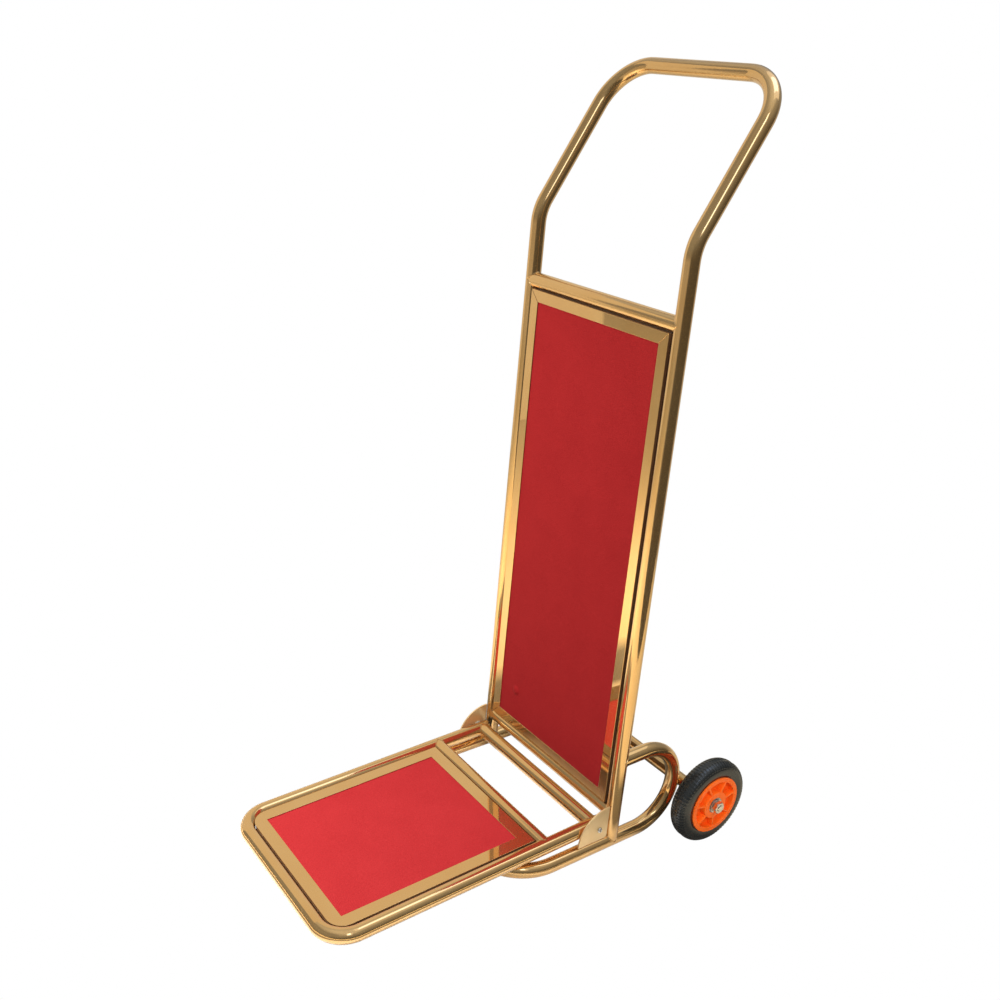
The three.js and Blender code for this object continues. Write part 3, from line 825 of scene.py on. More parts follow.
class CART_OT_welds(bpy.types.Operator):
    """Lay the weld beads around the joints of the tubes."""

    bl_idname = "cart.welds"
    bl_label = "Weld Beads"

    def execute(self, context):
        sizes = tubes()
        up = back_plane().to_3x3().col[1]
        back = deck_plane().to_3x3().col[1]
        inwards = Vector((-1, 0, 0))
        for name, side in SIDES.items():
            for end in ("top", "bottom"):
                centre = middle(f"back_{end}_crossbar") + Vector((side * upright_offset(), 0, 0))
                weld_bead(f"weld_back_{end}_{name}", centre, inwards * side, up, "frame",
                          sizes.radius)
            for place in ("middle", "hinge"):
                centre = middle(f"platform_{place}_crossbar")
                weld_bead(f"weld_platform_{place}_{name}",
                          centre + Vector((side * rail_offset(), 0, 0)), inwards * side, back,
                          "platform", sizes.radius)
            foot = Vector((side * upright_offset(), 0, sizes.radius))
            weld_bead(f"weld_foot_{name}", foot, up, Vector((0, 1, 0)), "frame", sizes.radius)
            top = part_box("base_tube")[1].z - sizes.radius
            bottom = middle("back_bottom_crossbar")
            seat = bottom + up * ((top - bottom.z) / up.z)
            weld_bead(f"weld_loop_{name}", seat + Vector((foot.x, 0, 0)), Vector((0, 1, 0)), up,
                      "frame", sizes.radius)
        return {"FINISHED"}


# ------------------------------------------------------------------ pivots


# Where the gusset plate's square corner lies, at the upright's front.
GUSSET_CORNER_Y = -0.0132
# Radius of the hole for the pivot bolt, in the gusset plate and in the washer.
BOLT_HOLE = 0.0033


class CART_OT_gussets(bpy.types.Operator):
    """Cut the quarter disc gusset plates and round their edges."""

    bl_idname = "cart.gussets"
    bl_label = "Gusset Plates"

    def execute(self, context):
        low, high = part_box("gusset_plate_right")
        up = back_plane().to_3x3().col[1]
        radius = tubes().radius
        corner = Vector((low.x, GUSSET_CORNER_Y, low.z))
        disc = high.z - low.z
        bpy.ops.mesh.primitive_circle_add(
            vertices=160, radius=disc, fill_type="NGON", location=corner,
            rotation=(0, math.radians(90), 0),
        )
        sheet = new_piece("gusset_sheet_right")
        edit(sheet, "FACE")
        bpy.ops.mesh.bisect(plane_co=corner, plane_no=(0, 0, 1), clear_inner=True)
        bpy.ops.mesh.select_all(action="SELECT")
        forwards = Vector((0, -up.z, up.y))
        bpy.ops.mesh.bisect(plane_co=corner, plane_no=forwards, clear_inner=True)
        deselect()
        edit(sheet, "VERT")
        bpy.ops.mesh.select_all(action="DESELECT")
        bpy.ops.object.mode_set(mode="OBJECT")
        for vertex in sheet.data.vertices:
            vertex.select = (vertex.co - corner).length < radius / 4
        bpy.ops.object.mode_set(mode="EDIT")
        bpy.ops.mesh.bevel(affect="VERTICES", offset=radius * 0.45, segments=8)
        bpy.ops.mesh.select_all(action="SELECT")
        extrude((high.x - low.x, 0, 0))
        clean(sheet)
        pivot = joint_place("platform_fold")
        reach = Vector((0.3, 0, 0))
        cut(sheet, rod("cutter", pivot, pivot + reach, BOLT_HOLE))
        rounded(sheet, 0.0005)
        left = copied(sheet, "gusset_sheet_left", MIRROR)
        for name, piece in (("right", sheet), ("left", left)):
            finish(piece, material("satin_gold"), "satin_gold", "frame",
                   f"gusset_plate_{name}", flat=True)
        return {"FINISHED"}


class CART_OT_pivots(bpy.types.Operator):
    """Turn the pivot bolts with their sockets, and their washers."""

    bl_idname = "cart.pivots"
    bl_label = "Pivots"

    def execute(self, context):
        pivot = joint_place("platform_fold")
        low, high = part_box("pivot_bolt_right")
        gap = 0.0003
        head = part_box("gusset_plate_right")[1].x + gap
        tall = high.x - head
        shank, rim, flat = 0.003, (high.z - low.z) / 2, 0.0032
        bolt = lathe("pivot_button_bolt_right", [
            (0, low.x), (shank, low.x), (shank, head), (rim, head), (rim, head + tall * 0.25),
            (rim * 0.93, head + tall * 0.55), (rim * 0.8, head + tall * 0.82),
            (flat, high.x), (0, high.x),
        ], pivot, steps=64)
        socket, socket_length = 0.0022, 0.0036
        bpy.ops.mesh.primitive_cylinder_add(
            vertices=6, radius=socket, depth=socket_length, rotation=(0, math.radians(90), 0),
            location=(high.x, pivot.y, pivot.z),
        )
        cut(bolt, new_piece("cutter"))
        rounded(bolt, 0.0002, 2, 50)
        low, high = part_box("pivot_washer_right")
        outer = (high.z - low.z) / 2
        ring = [(BOLT_HOLE, low.x), (outer, low.x), (outer, high.x), (BOLT_HOLE, high.x)]
        washer = lathe("pivot_ring_right", ring, pivot, steps=64)
        rounded(washer, 0.0002, 2)
        parts = [(bolt, "pivot_button_bolt", "pivot_bolt", "nickel_steel", "frame"),
                 (washer, "pivot_ring", "pivot_washer", "white_nylon", "frame")]
        slots = {"nickel_steel": "nickel_steel", "white_nylon": "nylon"}
        for piece, name, node, look, body in parts:
            other = copied(piece, f"{name}_left", MIRROR)
            for side, made in (("right", piece), ("left", other)):
                finish(made, material(look), slots[look], body, f"{node}_{side}", flat=True)
        return {"FINISHED"}


class CART_OT_rail_caps(bpy.types.Operator):
    """Turn the plugs in the rear ends of the platform's rails."""

    bl_idname = "cart.rail_caps"
    bl_label = "Rail Caps"

    def execute(self, context):
        along = deck_plane().to_3x3().col[1]
        for name, side in SIDES.items():
            low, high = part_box(f"rail_cap_{name}")
            radius = (high.x - low.x) / 2
            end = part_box("platform_tube")[1].y
            pivot = joint_place("platform_fold")
            start = pivot + along * ((end - pivot.y) / along.y + 0.0002)
            start.x = side * rail_offset()
            cap = rod(f"rail_plug_{name}", start - along * 0.004, start + along * 0.0016, radius)
            rounded(cap, 0.0012, 4)
            finish(cap, material("black_plastic"), "black_plastic", "platform",
                   f"rail_cap_{name}", flat=True)
        return {"FINISHED"}


# ------------------------------------------------------------------ panels


def bevelled_strip(name, node, place):
    """One mitred strip of the back's trim, from its node's box in the panel's own plane."""
    low, high = plate(node, place)
    centre = (low + high) / 2
    reach = high - low
    bpy.ops.mesh.primitive_plane_add(size=1, location=(centre.x, centre.y, low.z))
    strip = new_piece(name)
    edit(strip, "FACE")
    bpy.ops.transform.resize(value=(reach.x, reach.y, 1), center_override=centre)
    upright = reach.y > reach.x
    inner = -1 if (centre.x if upright else centre.y - panel_middle(place).y) > 0 else 1
    for end in (-1, 1):
        if upright:
            corner = Vector((low.x if inner > 0 else high.x, high.y if end > 0 else low.y, 0))
            normal = Vector((inner, end, 0))
        else:
            corner = Vector((high.x if end > 0 else low.x, low.y if inner > 0 else high.y, 0))
            normal = Vector((end, inner, 0))
        bpy.ops.mesh.select_all(action="SELECT")
        bpy.ops.mesh.bisect(plane_co=corner, plane_no=normal, clear_outer=True)
    bpy.ops.mesh.select_all(action="SELECT")
    extrude((0, 0, high.z - low.z))
    clean(strip)
    rounded(strip, panels().trim_edge, 3)
    strip.data.transform(place)
    return strip


def panel_middle(place):
    low, high = plate("back_carpet", place)
    return (low + high) / 2


class CART_OT_back_trim(bpy.types.Operator):
    """Cut the four mitred strips around the back's felt."""

    bl_idname = "cart.back_trim"
    bl_label = "Back Trim"

    def execute(self, context):
        place = back_plane()
        for edge in ("left", "right", "top", "bottom"):
            node = f"back_trim_{edge}"
            strip = bevelled_strip(f"back_strip_{edge}", node, place)
            gold_piece(strip, "frame", node, flat=True, look="mirror_gold")
        return {"FINISHED"}


class CART_OT_deck_trim(bpy.types.Operator):
    """Press the platform's one-piece trim with its two round front corners."""

    bl_idname = "cart.deck_trim"
    bl_label = "Deck Trim"

    def execute(self, context):
        place = deck_plane()
        low, high = plate("platform_trim", place)
        centre, reach = (low + high) / 2, high - low
        bpy.ops.mesh.primitive_plane_add(size=1, location=(centre.x, centre.y, low.z))
        trim = new_piece("deck_trim_ring")
        edit(trim, "FACE")
        bpy.ops.transform.resize(value=(reach.x, reach.y, 1), center_override=centre)
        bpy.ops.mesh.select_mode(type="VERT")
        bpy.ops.mesh.select_all(action="DESELECT")
        bpy.ops.object.mode_set(mode="OBJECT")
        for vertex in trim.data.vertices:
            vertex.select = vertex.co.y < centre.y
        bpy.ops.object.mode_set(mode="EDIT")
        sizes = tubes()
        bpy.ops.mesh.bevel(
            affect="VERTICES", offset=sizes.platform_corner - sizes.radius - 0.0065, segments=16)
        bpy.ops.mesh.select_all(action="SELECT")
        extrude((0, 0, high.z - low.z))
        clean(trim)
        width = panels().deck_trim
        bpy.ops.mesh.primitive_cube_add(size=1, location=centre)
        window = new_piece("cutter")
        edit(window)
        bpy.ops.transform.resize(
            value=(reach.x - 2 * width, reach.y - 2 * width, 0.01), center_override=centre)
        deselect()
        cut(trim, window)
        rounded(trim, panels().trim_edge, 3)
        trim.data.transform(place)
        gold_piece(trim, "platform", "platform_trim", flat=True, look="mirror_gold")
        return {"FINISHED"}


def felt_sheet(name, node, place, window_low, window_high):
    """A felt sheet under the trim, with a slightly uneven face."""
    sizes = panels()
    low, high = plate(node, place)
    low = Vector((window_low.x - sizes.felt_lap, window_low.y - sizes.felt_lap, low.z))
    high = Vector((window_high.x + sizes.felt_lap, window_high.y + sizes.felt_lap, high.z))
    reach = high - low
    centre = Vector(((low.x + high.x) / 2, (low.y + high.y) / 2, low.z))
    bpy.ops.mesh.primitive_grid_add(
        x_subdivisions=round(reach.x / sizes.felt_grid),
        y_subdivisions=round(reach.y / sizes.felt_grid), size=1, location=centre,
    )
    sheet = new_piece(name)
    edit(sheet, "FACE")
    bpy.ops.transform.resize(value=(reach.x, reach.y, 1), center_override=centre)
    extrude((0, 0, reach.z - sizes.felt_swell))
    clean(sheet)
    cloud = bpy.data.textures.new(name, "CLOUDS")
    cloud.noise_scale = 0.02
    top = sheet.vertex_groups.new(name="face")
    top.add([v.index for v in sheet.data.vertices if v.co.z > low.z + reach.z / 2], 1, "REPLACE")
    apply(sheet, "DISPLACE", texture=cloud, strength=2 * sizes.felt_swell, direction="Z",
          vertex_group="face", mid_level=0.5)
    sheet.vertex_groups.clear()
    return sheet, low, high


class CART_OT_felts(bpy.types.Operator):
    """Lay the two felt sheets under their trims."""

    bl_idname = "cart.felts"
    bl_label = "Felts"

    def execute(self, context):
        sizes = panels()
        place = deck_plane()
        edge = Vector((sizes.deck_trim, sizes.deck_trim, 0))
        low, high = plate("platform_trim", place)
        sheet, low, high = felt_sheet(
            "deck_felt_sheet", "platform_carpet", place, low + edge, high - edge)
        sheet.data.transform(place)
        finish(sheet, material("deck_felt"), "red_carpet", "platform", "platform_carpet")
        (high - low).x
        (high - low).y
        place = back_plane()
        left, right = plate("back_trim_left", place), plate("back_trim_right", place)
        bottom, top = plate("back_trim_bottom", place), plate("back_trim_top", place)
        low = Vector((left[1].x, bottom[1].y, 0))
        high = Vector((right[0].x, top[0].y, 0))
        knob = Vector((-sizes.bump_across, bottom[0].y + sizes.bump_up, 0))
        sheet, low, high = felt_sheet("back_felt_sheet", "back_carpet", place, low, high)
        raise_bump(sheet, knob, (low.z + high.z) / 2)
        sheet.data.transform(place)
        finish(sheet, material("back_felt"), "deep_red_carpet", "frame", "back_carpet")
        (high - low).x
        (high - low).y
        return {"FINISHED"}


def raise_bump(sheet, knob, middle_height):
    """Refines the felt around one spot and raises it as over a screw's head."""
    radius = panels().bump_radius
    for _ in range(2):
        select_faces(sheet, lambda face: face.center.z > middle_height
                     and (face.center.xy - knob.xy).length < radius * 2.2)
        bpy.ops.mesh.subdivide(number_cuts=1)
        deselect()
    for vertex in sheet.data.vertices:
        away = (vertex.co.xy - knob.xy).length / radius
        if vertex.co.z > middle_height and away < 1.6:
            vertex.co.z += panels().bump_height * math.exp(-(away ** 4))


class CART_OT_boards(bpy.types.Operator):
    """Give the boards, bearings and sleeves that stay as they are their finishes."""

    bl_idname = "cart.boards"
    bl_label = "Boards and Bearings"

    def execute(self, context):
        for name, node in frame["nodes"].items():
            look = next((CARRIED[key] for key in CARRIED if key in name), None)
            if look and not node.hide_render:
                node.data.materials.clear()
                node.data.materials.append(material(look))
        return {"FINISHED"}


# Finishes of the nodes that keep the CAD model's own mesh, by a part of their names.
CARRIED = {
    "_board": "film_faced_wood",
    "bearing": "zinc_steel",
    "pivot_sleeve": "zinc_steel",
}


def tab(name, node, place):
    """A tab with rounded free corners, welded on by its outer end."""
    low, high = plate(node, place)
    centre, reach = (low + high) / 2, high - low
    bpy.ops.mesh.primitive_plane_add(size=1, location=(centre.x, centre.y, low.z))
    made = new_piece(name)
    edit(made, "FACE")
    bpy.ops.transform.resize(value=(reach.x, reach.y, 1), center_override=centre)
    bpy.ops.mesh.select_mode(type="VERT")
    bpy.ops.mesh.select_all(action="DESELECT")
    bpy.ops.object.mode_set(mode="OBJECT")
    for vertex in made.data.vertices:
        vertex.select = abs(vertex.co.x) < abs(centre.x)
    bpy.ops.object.mode_set(mode="EDIT")
    bpy.ops.mesh.bevel(affect="VERTICES", offset=0.007, segments=8)
    bpy.ops.mesh.select_all(action="SELECT")
    extrude((0, 0, reach.z))
    clean(made)
    rounded(made, 0.0003, 2)
    made.data.transform(place)
    return made


# Depth, length and width of one arm pair of a screw's cross recess.
SLOT = (0.0022, 0.0048, 0.0008)


def screw(name, centre, out, radius, height):
    """A pan head screw with a cross recess, its head's foot at the centre, pointing out."""
    profile = [(0.0001, -0.0005), (radius, -0.0005), (radius, height * 0.45),
               (radius * 0.86, height * 0.8), (radius * 0.6, height), (0.0001, height)]
    head = lathe(name, profile, (0, 0, 0), steps=40)
    for spin in (0, 90):
        bpy.ops.mesh.primitive_cube_add(size=1)
        slot = new_piece("cutter")
        edit(slot)
        bpy.ops.transform.resize(value=SLOT, center_override=(0, 0, 0))
        if spin:
            bpy.ops.transform.rotate(
                value=math.radians(90), orient_axis="X", center_override=(0, 0, 0))
        bpy.ops.transform.translate(value=(height, 0, 0))
        deselect()
        cut(head, slot)
    head.data.transform(
        Matrix.Translation(centre) @ out.to_track_quat("X", "Z").to_matrix().to_4x4())
    return head


class CART_OT_tabs(bpy.types.Operator):
    """Cut the eight tabs that hold the boards, and drive their screws."""

    bl_idname = "cart.tabs"
    bl_label = "Tabs and Screws"

    def execute(self, context):
        groups = (("platform", deck_plane(), ("front", "rear"), "platform"),
                  ("back", back_plane(), ("lower", "upper"), "frame"))
        for prefix, place, ends, body in groups:
            for side in SIDES:
                for end in ends:
                    self.one(f"{side}_{end}", prefix, place, body)
        return {"FINISHED"}

    def one(self, name, prefix, place, body):
        piece = tab(f"{prefix}_lug_{name}", f"{prefix}_tab_{name}", place)
        finish(piece, material("satin_gold"), "satin_gold", body, f"{prefix}_tab_{name}",
               flat=True)
        low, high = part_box(f"{prefix}_screw_{name}")
        spot = place.inverted() @ ((low + high) / 2)
        under = plate(f"{prefix}_tab_{name}", place)[0].z
        centre = place @ Vector((spot.x, spot.y, under - 0.0003))
        out = -place.to_3x3().col[2]
        head = screw(f"{prefix}_pan_screw_{name}", centre, out, (high.x - low.x) / 2, 0.0024)
        finish(head, material("zinc_steel"), "zinc_steel", body, f"{prefix}_screw_{name}")


class CART_OT_bumpers(bpy.types.Operator):
    """Mould the two rubber bumpers under the platform."""

    bl_idname = "cart.bumpers"
    bl_label = "Bumpers"

    def execute(self, context):
        place = deck_plane()
        for side in SIDES:
            node = f"platform_bumper_{side}"
            low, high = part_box(node)
            radius = (high.x - low.x) / 2
            spot = place.inverted() @ ((low + high) / 2)
            top = plate("platform_board", place)[0].z - 0.0003
            height = (top - spot.z) * 2
            profile = [(0.0001, 0), (radius, 0), (radius, height * 0.3),
                       (radius * 0.94, height * 0.7), (radius * 0.84, height),
                       (radius * 0.35, height), (radius * 0.25, height * 0.7),
                       (0.0001, height * 0.7)]
            foot = lathe(f"rubber_foot_{side}", profile, (0, 0, 0), steps=64)
            rounded(foot, 0.0006, 3, 30)
            out = -place.to_3x3().col[2]
            centre = place @ Vector((spot.x, spot.y, top))
            foot.data.transform(
                Matrix.Translation(centre) @ out.to_track_quat("X", "Z").to_matrix().to_4x4())
            finish(foot, material("tyre_rubber"), "bumper_rubber", "platform", node, flat=True)
        return {"FINISHED"}


# ------------------------------------------------------------------ wheels


def both_wheels(piece, name, look, slot, *nodes, riding="wheel", flat=True):
    """Finishes a piece of the right wheel and its mirrored copy on the left."""
    other = copied(piece, f"{name}_left", MIRROR)
    for side, made in (("right", piece), ("left", other)):
        body = f"wheel_{side}" if riding == "wheel" else riding
        finish(made, material(look), slot, body, *[f"{node}_{side}" for node in nodes],
               flat=flat)


def tyre_section():
    """Half of the tyre's outline, from the middle of the tread to its bead."""
    sizes = wheels()
    wall = sizes.tyre_width / 2
    floor = sizes.radius - sizes.tread_depth
    half = [(floor, 0.0)]
    for step in range(1, 17):
        angle = math.radians(90 * step / 16)
        reach = wall * math.sin(angle) ** 0.85
        half.append((floor - 0.0150 * (1 - math.cos(angle)) ** 1.15, reach))
    half += [(0.0560, wall * 0.985), (0.0545, wall * 0.955), (0.0535, 0.0168),
             (sizes.bead, 0.0167)]
    return half


class CART_OT_tyres(bpy.types.Operator):
    """Mould the tyres with their tread lugs and parting grooves."""

    bl_idname = "cart.tyres"
    bl_label = "Tyres"

    def execute(self, context):
        centre = joint_place("wheel_spin_right")
        half = tyre_section()
        whole = half + [(radius, -along) for radius, along in reversed(half[1:])]
        profile = [(radius, centre.x + along) for radius, along in whole]
        body = lathe("tyre_tread_right", profile, Vector((0, centre.y, centre.z)), steps=160)
        pieces = [body]
        pieces += [self.lugs(centre, side) for side in (-1, 1)]
        pieces.append(self.ring(centre, -0.0150))
        tyre = joined(pieces, "tyre_tread_right")
        both_wheels(tyre, "tyre_tread", "tyre_rubber", "tyre_rubber", "tyre", flat=False)
        return {"FINISHED"}

    def lugs(self, centre, side):
        """One row of lugs: one is shaped to the tyre's round section, and spin repeats it."""
        sizes = wheels()
        pitch = 2 * math.pi / sizes.lugs
        width = sizes.radius * pitch * 0.56
        section = tyre_section()[1:12]
        bpy.ops.mesh.primitive_grid_add(x_subdivisions=len(section) - 1, y_subdivisions=1, size=1)
        lug = new_piece("lug")
        last = len(section) - 1
        for vertex in lug.data.vertices:
            step = round((vertex.co.x + 0.5) * last)
            radius, along = section[step]
            fade = min(1, (last - step) / 2, (step + 1) / 2)
            rise = sizes.tread_depth * fade
            vertex.co = centre + Vector((
                side * (along + rise * step / last), math.copysign(width / 2, vertex.co.y),
                radius + rise * (1 - step / last / 2)))
        edit(lug)
        extrude((0, 0, -0.0016))
        clean(lug)
        rounded(lug, 0.0003, 2, 50)
        edit(lug)
        if side > 0:
            bpy.ops.transform.rotate(
                value=pitch / 2, orient_axis="X", center_override=centre)
        repeated(sizes.lugs, centre)
        return lug

    def ring(self, centre, at):
        """The thin parting line that the mould leaves beside the tread."""
        radius = wheels().radius - 0.0062
        profile = [(radius - 0.002, centre.x + at - 0.0006), (radius, centre.x + at - 0.0004),
                   (radius + 0.0003, centre.x + at), (radius, centre.x + at + 0.0004),
                   (radius - 0.002, centre.x + at + 0.0006)]
        return lathe("ring", profile, Vector((0, centre.y, centre.z)), steps=160)


class CART_OT_hubs(bpy.types.Operator):
    """Mould the hubs with their pockets, ribs and boss."""

    bl_idname = "cart.hubs"
    bl_label = "Wheel Hubs"

    def execute(self, context):
        sizes = wheels()
        centre = joint_place("wheel_spin_right")
        end = sizes.hub_width / 2
        pocket = end - sizes.web
        lip = 0.003
        draft = 0.0008
        flange_edge, edge = 0.0007, 0.0008
        fillet = 0.0012
        tyre_seat = 0.05
        bearing_bore, bearing_depth = 0.0143, 0.0083
        rod_bore = 0.008
        half = [
            (tyre_seat, end - lip), (sizes.flange, end - lip),
            (sizes.flange, end - flange_edge), (sizes.flange - flange_edge, end),
            (sizes.rim + edge, end), (sizes.rim, end - edge),
            (sizes.rim - draft, pocket + fillet), (sizes.rim - draft - fillet, pocket),
            (sizes.boss + draft + fillet, pocket), (sizes.boss + draft, pocket + fillet),
            (sizes.boss, end - edge), (sizes.boss - edge, end),
            (bearing_bore, end), (bearing_bore, end - bearing_depth),
            (rod_bore, end - bearing_depth),
        ]
        whole = half + [(radius, -along) for radius, along in reversed(half)]
        profile = [(radius, centre.x + along) for radius, along in whole]
        body = lathe("hub_moulding_right", profile, Vector((0, centre.y, centre.z)), steps=112)
        hub = joined([body, self.ribs(centre, end)], "hub_moulding_right")
        both_wheels(hub, "hub_moulding", "orange_plastic", "orange_plastic", "wheel_hub",
                    flat=False)
        return {"FINISHED"}

    def ribs(self, centre, end):
        """The ribs, a little lower than the rim: one is shaped, and spin repeats it."""
        sizes = wheels()
        reach = sizes.rim - sizes.boss + 0.002
        bpy.ops.mesh.primitive_cube_add(size=1)
        rib = new_piece("ribs")
        edit(rib)
        top = end - 0.0005
        bpy.ops.transform.resize(
            value=(2 * top, sizes.rib_width, reach), center_override=(0, 0, 0))
        bpy.ops.transform.translate(value=(
            centre.x, centre.y, centre.z + sizes.boss - 0.001 + reach / 2))
        deselect()
        for vertex in rib.data.vertices:
            narrow = abs(vertex.co.x - centre.x) > top * 0.9
            if narrow:
                vertex.co.y = centre.y + (vertex.co.y - centre.y) * 0.8
        rounded(rib, 0.0007, 3)
        edit(rib)
        bpy.ops.transform.rotate(
            value=math.pi / sizes.ribs, orient_axis="X", center_override=centre)
        repeated(sizes.ribs, centre)
        return rib


class CART_OT_axle_ends(bpy.types.Operator):
    """Turn the axle rod, bushes, washers and nuts."""

    bl_idname = "cart.axle_ends"
    bl_label = "Axle Ends"

    def execute(self, context):
        sizes = wheels()
        centre = joint_place("wheel_spin_right")
        axis = Vector((0, centre.y, centre.z))
        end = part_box("axle_rod")[1].x
        tip = 0.0012
        shaft = lathe("axle_shaft", [
            (0.0001, -end), (sizes.rod - tip, -end), (sizes.rod, tip - end),
            (sizes.rod, end - tip), (sizes.rod - tip, end), (0.0001, end),
        ], axis, steps=48)
        finish(shaft, material("nickel_steel"), "nickel_steel", "frame", "axle_rod", flat=True)
        self.washer(axis)
        self.nut(axis)
        self.bush(axis)
        return {"FINISHED"}

    def washer(self, axis):
        """The flat washer between the wheel and its nut."""
        low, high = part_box("axle_washer_right")
        gap = 0.0002
        hole = wheels().rod + gap
        outer = wheels().washer
        piece = lathe("flat_washer_right", [
            (hole, low.x), (outer, low.x), (outer, high.x), (hole, high.x)], axis, steps=72)
        rounded(piece, 0.0004, 3)
        both_wheels(piece, "flat_washer", "nickel_steel", "nickel_steel", "axle_washer",
                    riding="frame")

    def nut(self, axis):
        """A hexagon nut whose corners are turned off and whose end is domed."""
        low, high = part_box("axle_nut_right")
        corner = max((high.y - low.y), (high.z - low.z)) / 2
        bpy.ops.mesh.primitive_cylinder_add(
            vertices=6, radius=corner, depth=high.x - low.x,
            location=(middle("axle_nut_right").x, axis.y, axis.z),
            rotation=(0, math.radians(90), 0),
        )
        nut = new_piece("hexagon_nut_right")
        cone, past, gap = 0.0022, 0.001, 0.0001
        face, outside = corner * 0.86, corner * 1.3
        ring = lathe("cutter", [
            (face, high.x + past), (outside, high.x + past), (outside, high.x - cone),
            (corner * 1.02, high.x - cone), (face, high.x)], axis, steps=72)
        cut(nut, ring)
        cut(nut, rod("cutter", (low.x - past, axis.y, axis.z), (high.x + past, axis.y, axis.z),
                     wheels().rod + gap, 48))
        rounded(nut, 0.0003, 2)
        both_wheels(nut, "hexagon_nut", "nickel_steel", "nickel_steel", "axle_nut",
                    riding="frame")

    def bush(self, axis):
        """The bush in the axle tube's end, its collar outside and its neck up to the wheel."""
        low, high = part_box("axle_bush_right")
        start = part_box("axle_tube")[1].x
        hole, outer, neck, spigot = 0.0062, 0.0108, 0.0083, 0.0092
        inner, shoulder = start + 0.0003, start + 0.0023
        piece = lathe("nylon_bush_right", [
            (hole, low.x), (spigot, low.x), (spigot, inner), (outer, inner),
            (outer, shoulder), (neck, shoulder), (neck, high.x), (hole, high.x),
        ], axis, steps=64)
        rounded(piece, 0.0003, 2)
        both_wheels(piece, "nylon_bush", "white_nylon", "nylon", "axle_bush", riding="frame")


# ------------------------------------------------------------------ stage


def grey_sky(graph, height, stops):
    """Radiance by height: stops of (degrees above the horizon, radiance)."""
    tones = [(0.5 + math.sin(math.radians(angle)) / 2, tone) for angle, tone in stops]
    return graph.grey(height, tones)


def wall_side(graph, direction, axis, start, full):
    """How far a direction lies to one side of the room, from 0 to 1."""
    along = graph.node("ShaderNodeVectorMath", {"operation": "DOT_PRODUCT"},
                       {0: direction, 1: axis}, output="Value")
    return graph.grey(along, [(start, 0.0), (full, 1.0)])


def studio_world(graph):
    """A pale backdrop for the camera; a soft room, darker to the right, for everything else."""
    direction = graph.node("ShaderNodeTexCoord", output="Generated")
    rise = graph.node("ShaderNodeSeparateXYZ", {}, {"Vector": direction}, output="Z")
    height = rise * 0.5 + 0.5
    left = grey_sky(graph, height, [
        (-90, 0.60), (-30, 0.55), (-8, 0.45), (3, 0.27), (14, 0.24), (26, 0.26), (38, 0.34),
        (46, 0.42), (60, 0.46), (90, 0.60)])
    front = grey_sky(graph, height, [
        (-90, 0.55), (-30, 0.50), (-8, 0.40), (4, 0.20), (20, 0.22), (35, 0.24), (50, 0.22),
        (65, 0.42), (90, 0.64)])
    right = grey_sky(graph, height, [
        (-90, 0.50), (-30, 0.07), (-8, 0.045), (0, 0.07), (15, 0.14), (30, 0.24), (45, 0.30),
        (60, 0.55), (90, 0.70)])
    room = graph.mix(wall_side(graph, direction, (0, -1, 0), 0.2, 0.45), left, front)
    room = graph.mix(wall_side(graph, direction, (0.996, 0.087, 0), 0.22, 0.5), room, right)
    walls = graph.noise(3.2, 3, 0.65, stretch=(2.4, 2.4, 0.35), place=direction)
    uneven = graph.grey(walls, [(0.3, 0.55), (0.4, 1.0), (0.47, 0.72), (0.55, 1.05), (0.7, 0.7)])
    room = graph.node("ShaderNodeMix", {"data_type": "RGBA", "blend_type": "MULTIPLY"},
                      {0: 0.8, 6: room, 7: uneven}, output=2)
    tint = graph.mix(graph.grey(height, [(0.5, 0.0), (0.62, 1.0)]),
                     (1.0, 0.93, 0.80, 1), (0.96, 1.0, 1.0, 1))
    warm = graph.node("ShaderNodeMix", {"data_type": "RGBA", "blend_type": "MULTIPLY"},
                      {0: 1.0, 6: room, 7: tint}, output=2)
    lit = graph.node("ShaderNodeBackground", {}, {"Color": warm, "Strength": 1.15})
    pale = graph.node("ShaderNodeBackground", {}, {"Color": (1, 1, 1, 1), "Strength": 1.0})
    seen = graph.node("ShaderNodeLightPath", output="Is Camera Ray")
    both = graph.node("ShaderNodeMixShader", {}, {0: seen, 1: lit, 2: pale})
    graph.node("ShaderNodeOutputWorld", {}, {"Surface": both})


def towards(azimuth, height, distance, origin=(0, 0, 0.6)):
    """A place at a compass angle from the cart's back, turning to its right, and a height."""
    azimuth, height = math.radians(azimuth), math.radians(height)
    flat = math.cos(height) * distance
    return Vector(origin) + Vector((
        math.sin(azimuth) * flat, math.cos(azimuth) * flat, math.sin(height) * distance))


def softbox(name, place, aim, width, height, watts):
    """A soft light that polished metal doesn't mirror."""
    light = bpy.data.lights.new(name, "AREA")
    light.shape = "RECTANGLE"
    light.size = width
    light.size_y = height
    light.energy = watts
    lamp = bpy.data.objects.new(name, light)
    lamp.location = place
    lamp.rotation_euler = (Vector(aim) - Vector(place)).to_track_quat("-Z", "Y").to_euler()
    bpy.context.scene.collection.objects.link(lamp)
    lamp.visible_camera = False
    lamp.visible_glossy = False
    return lamp


# Tones of the cards: gold turns pale blue into cream.
PALE_BLUE = (0.60, 0.74, 1.0)
COOL_WHITE = (0.92, 0.96, 1.0)
BUFF = (1.0, 0.92, 0.75)


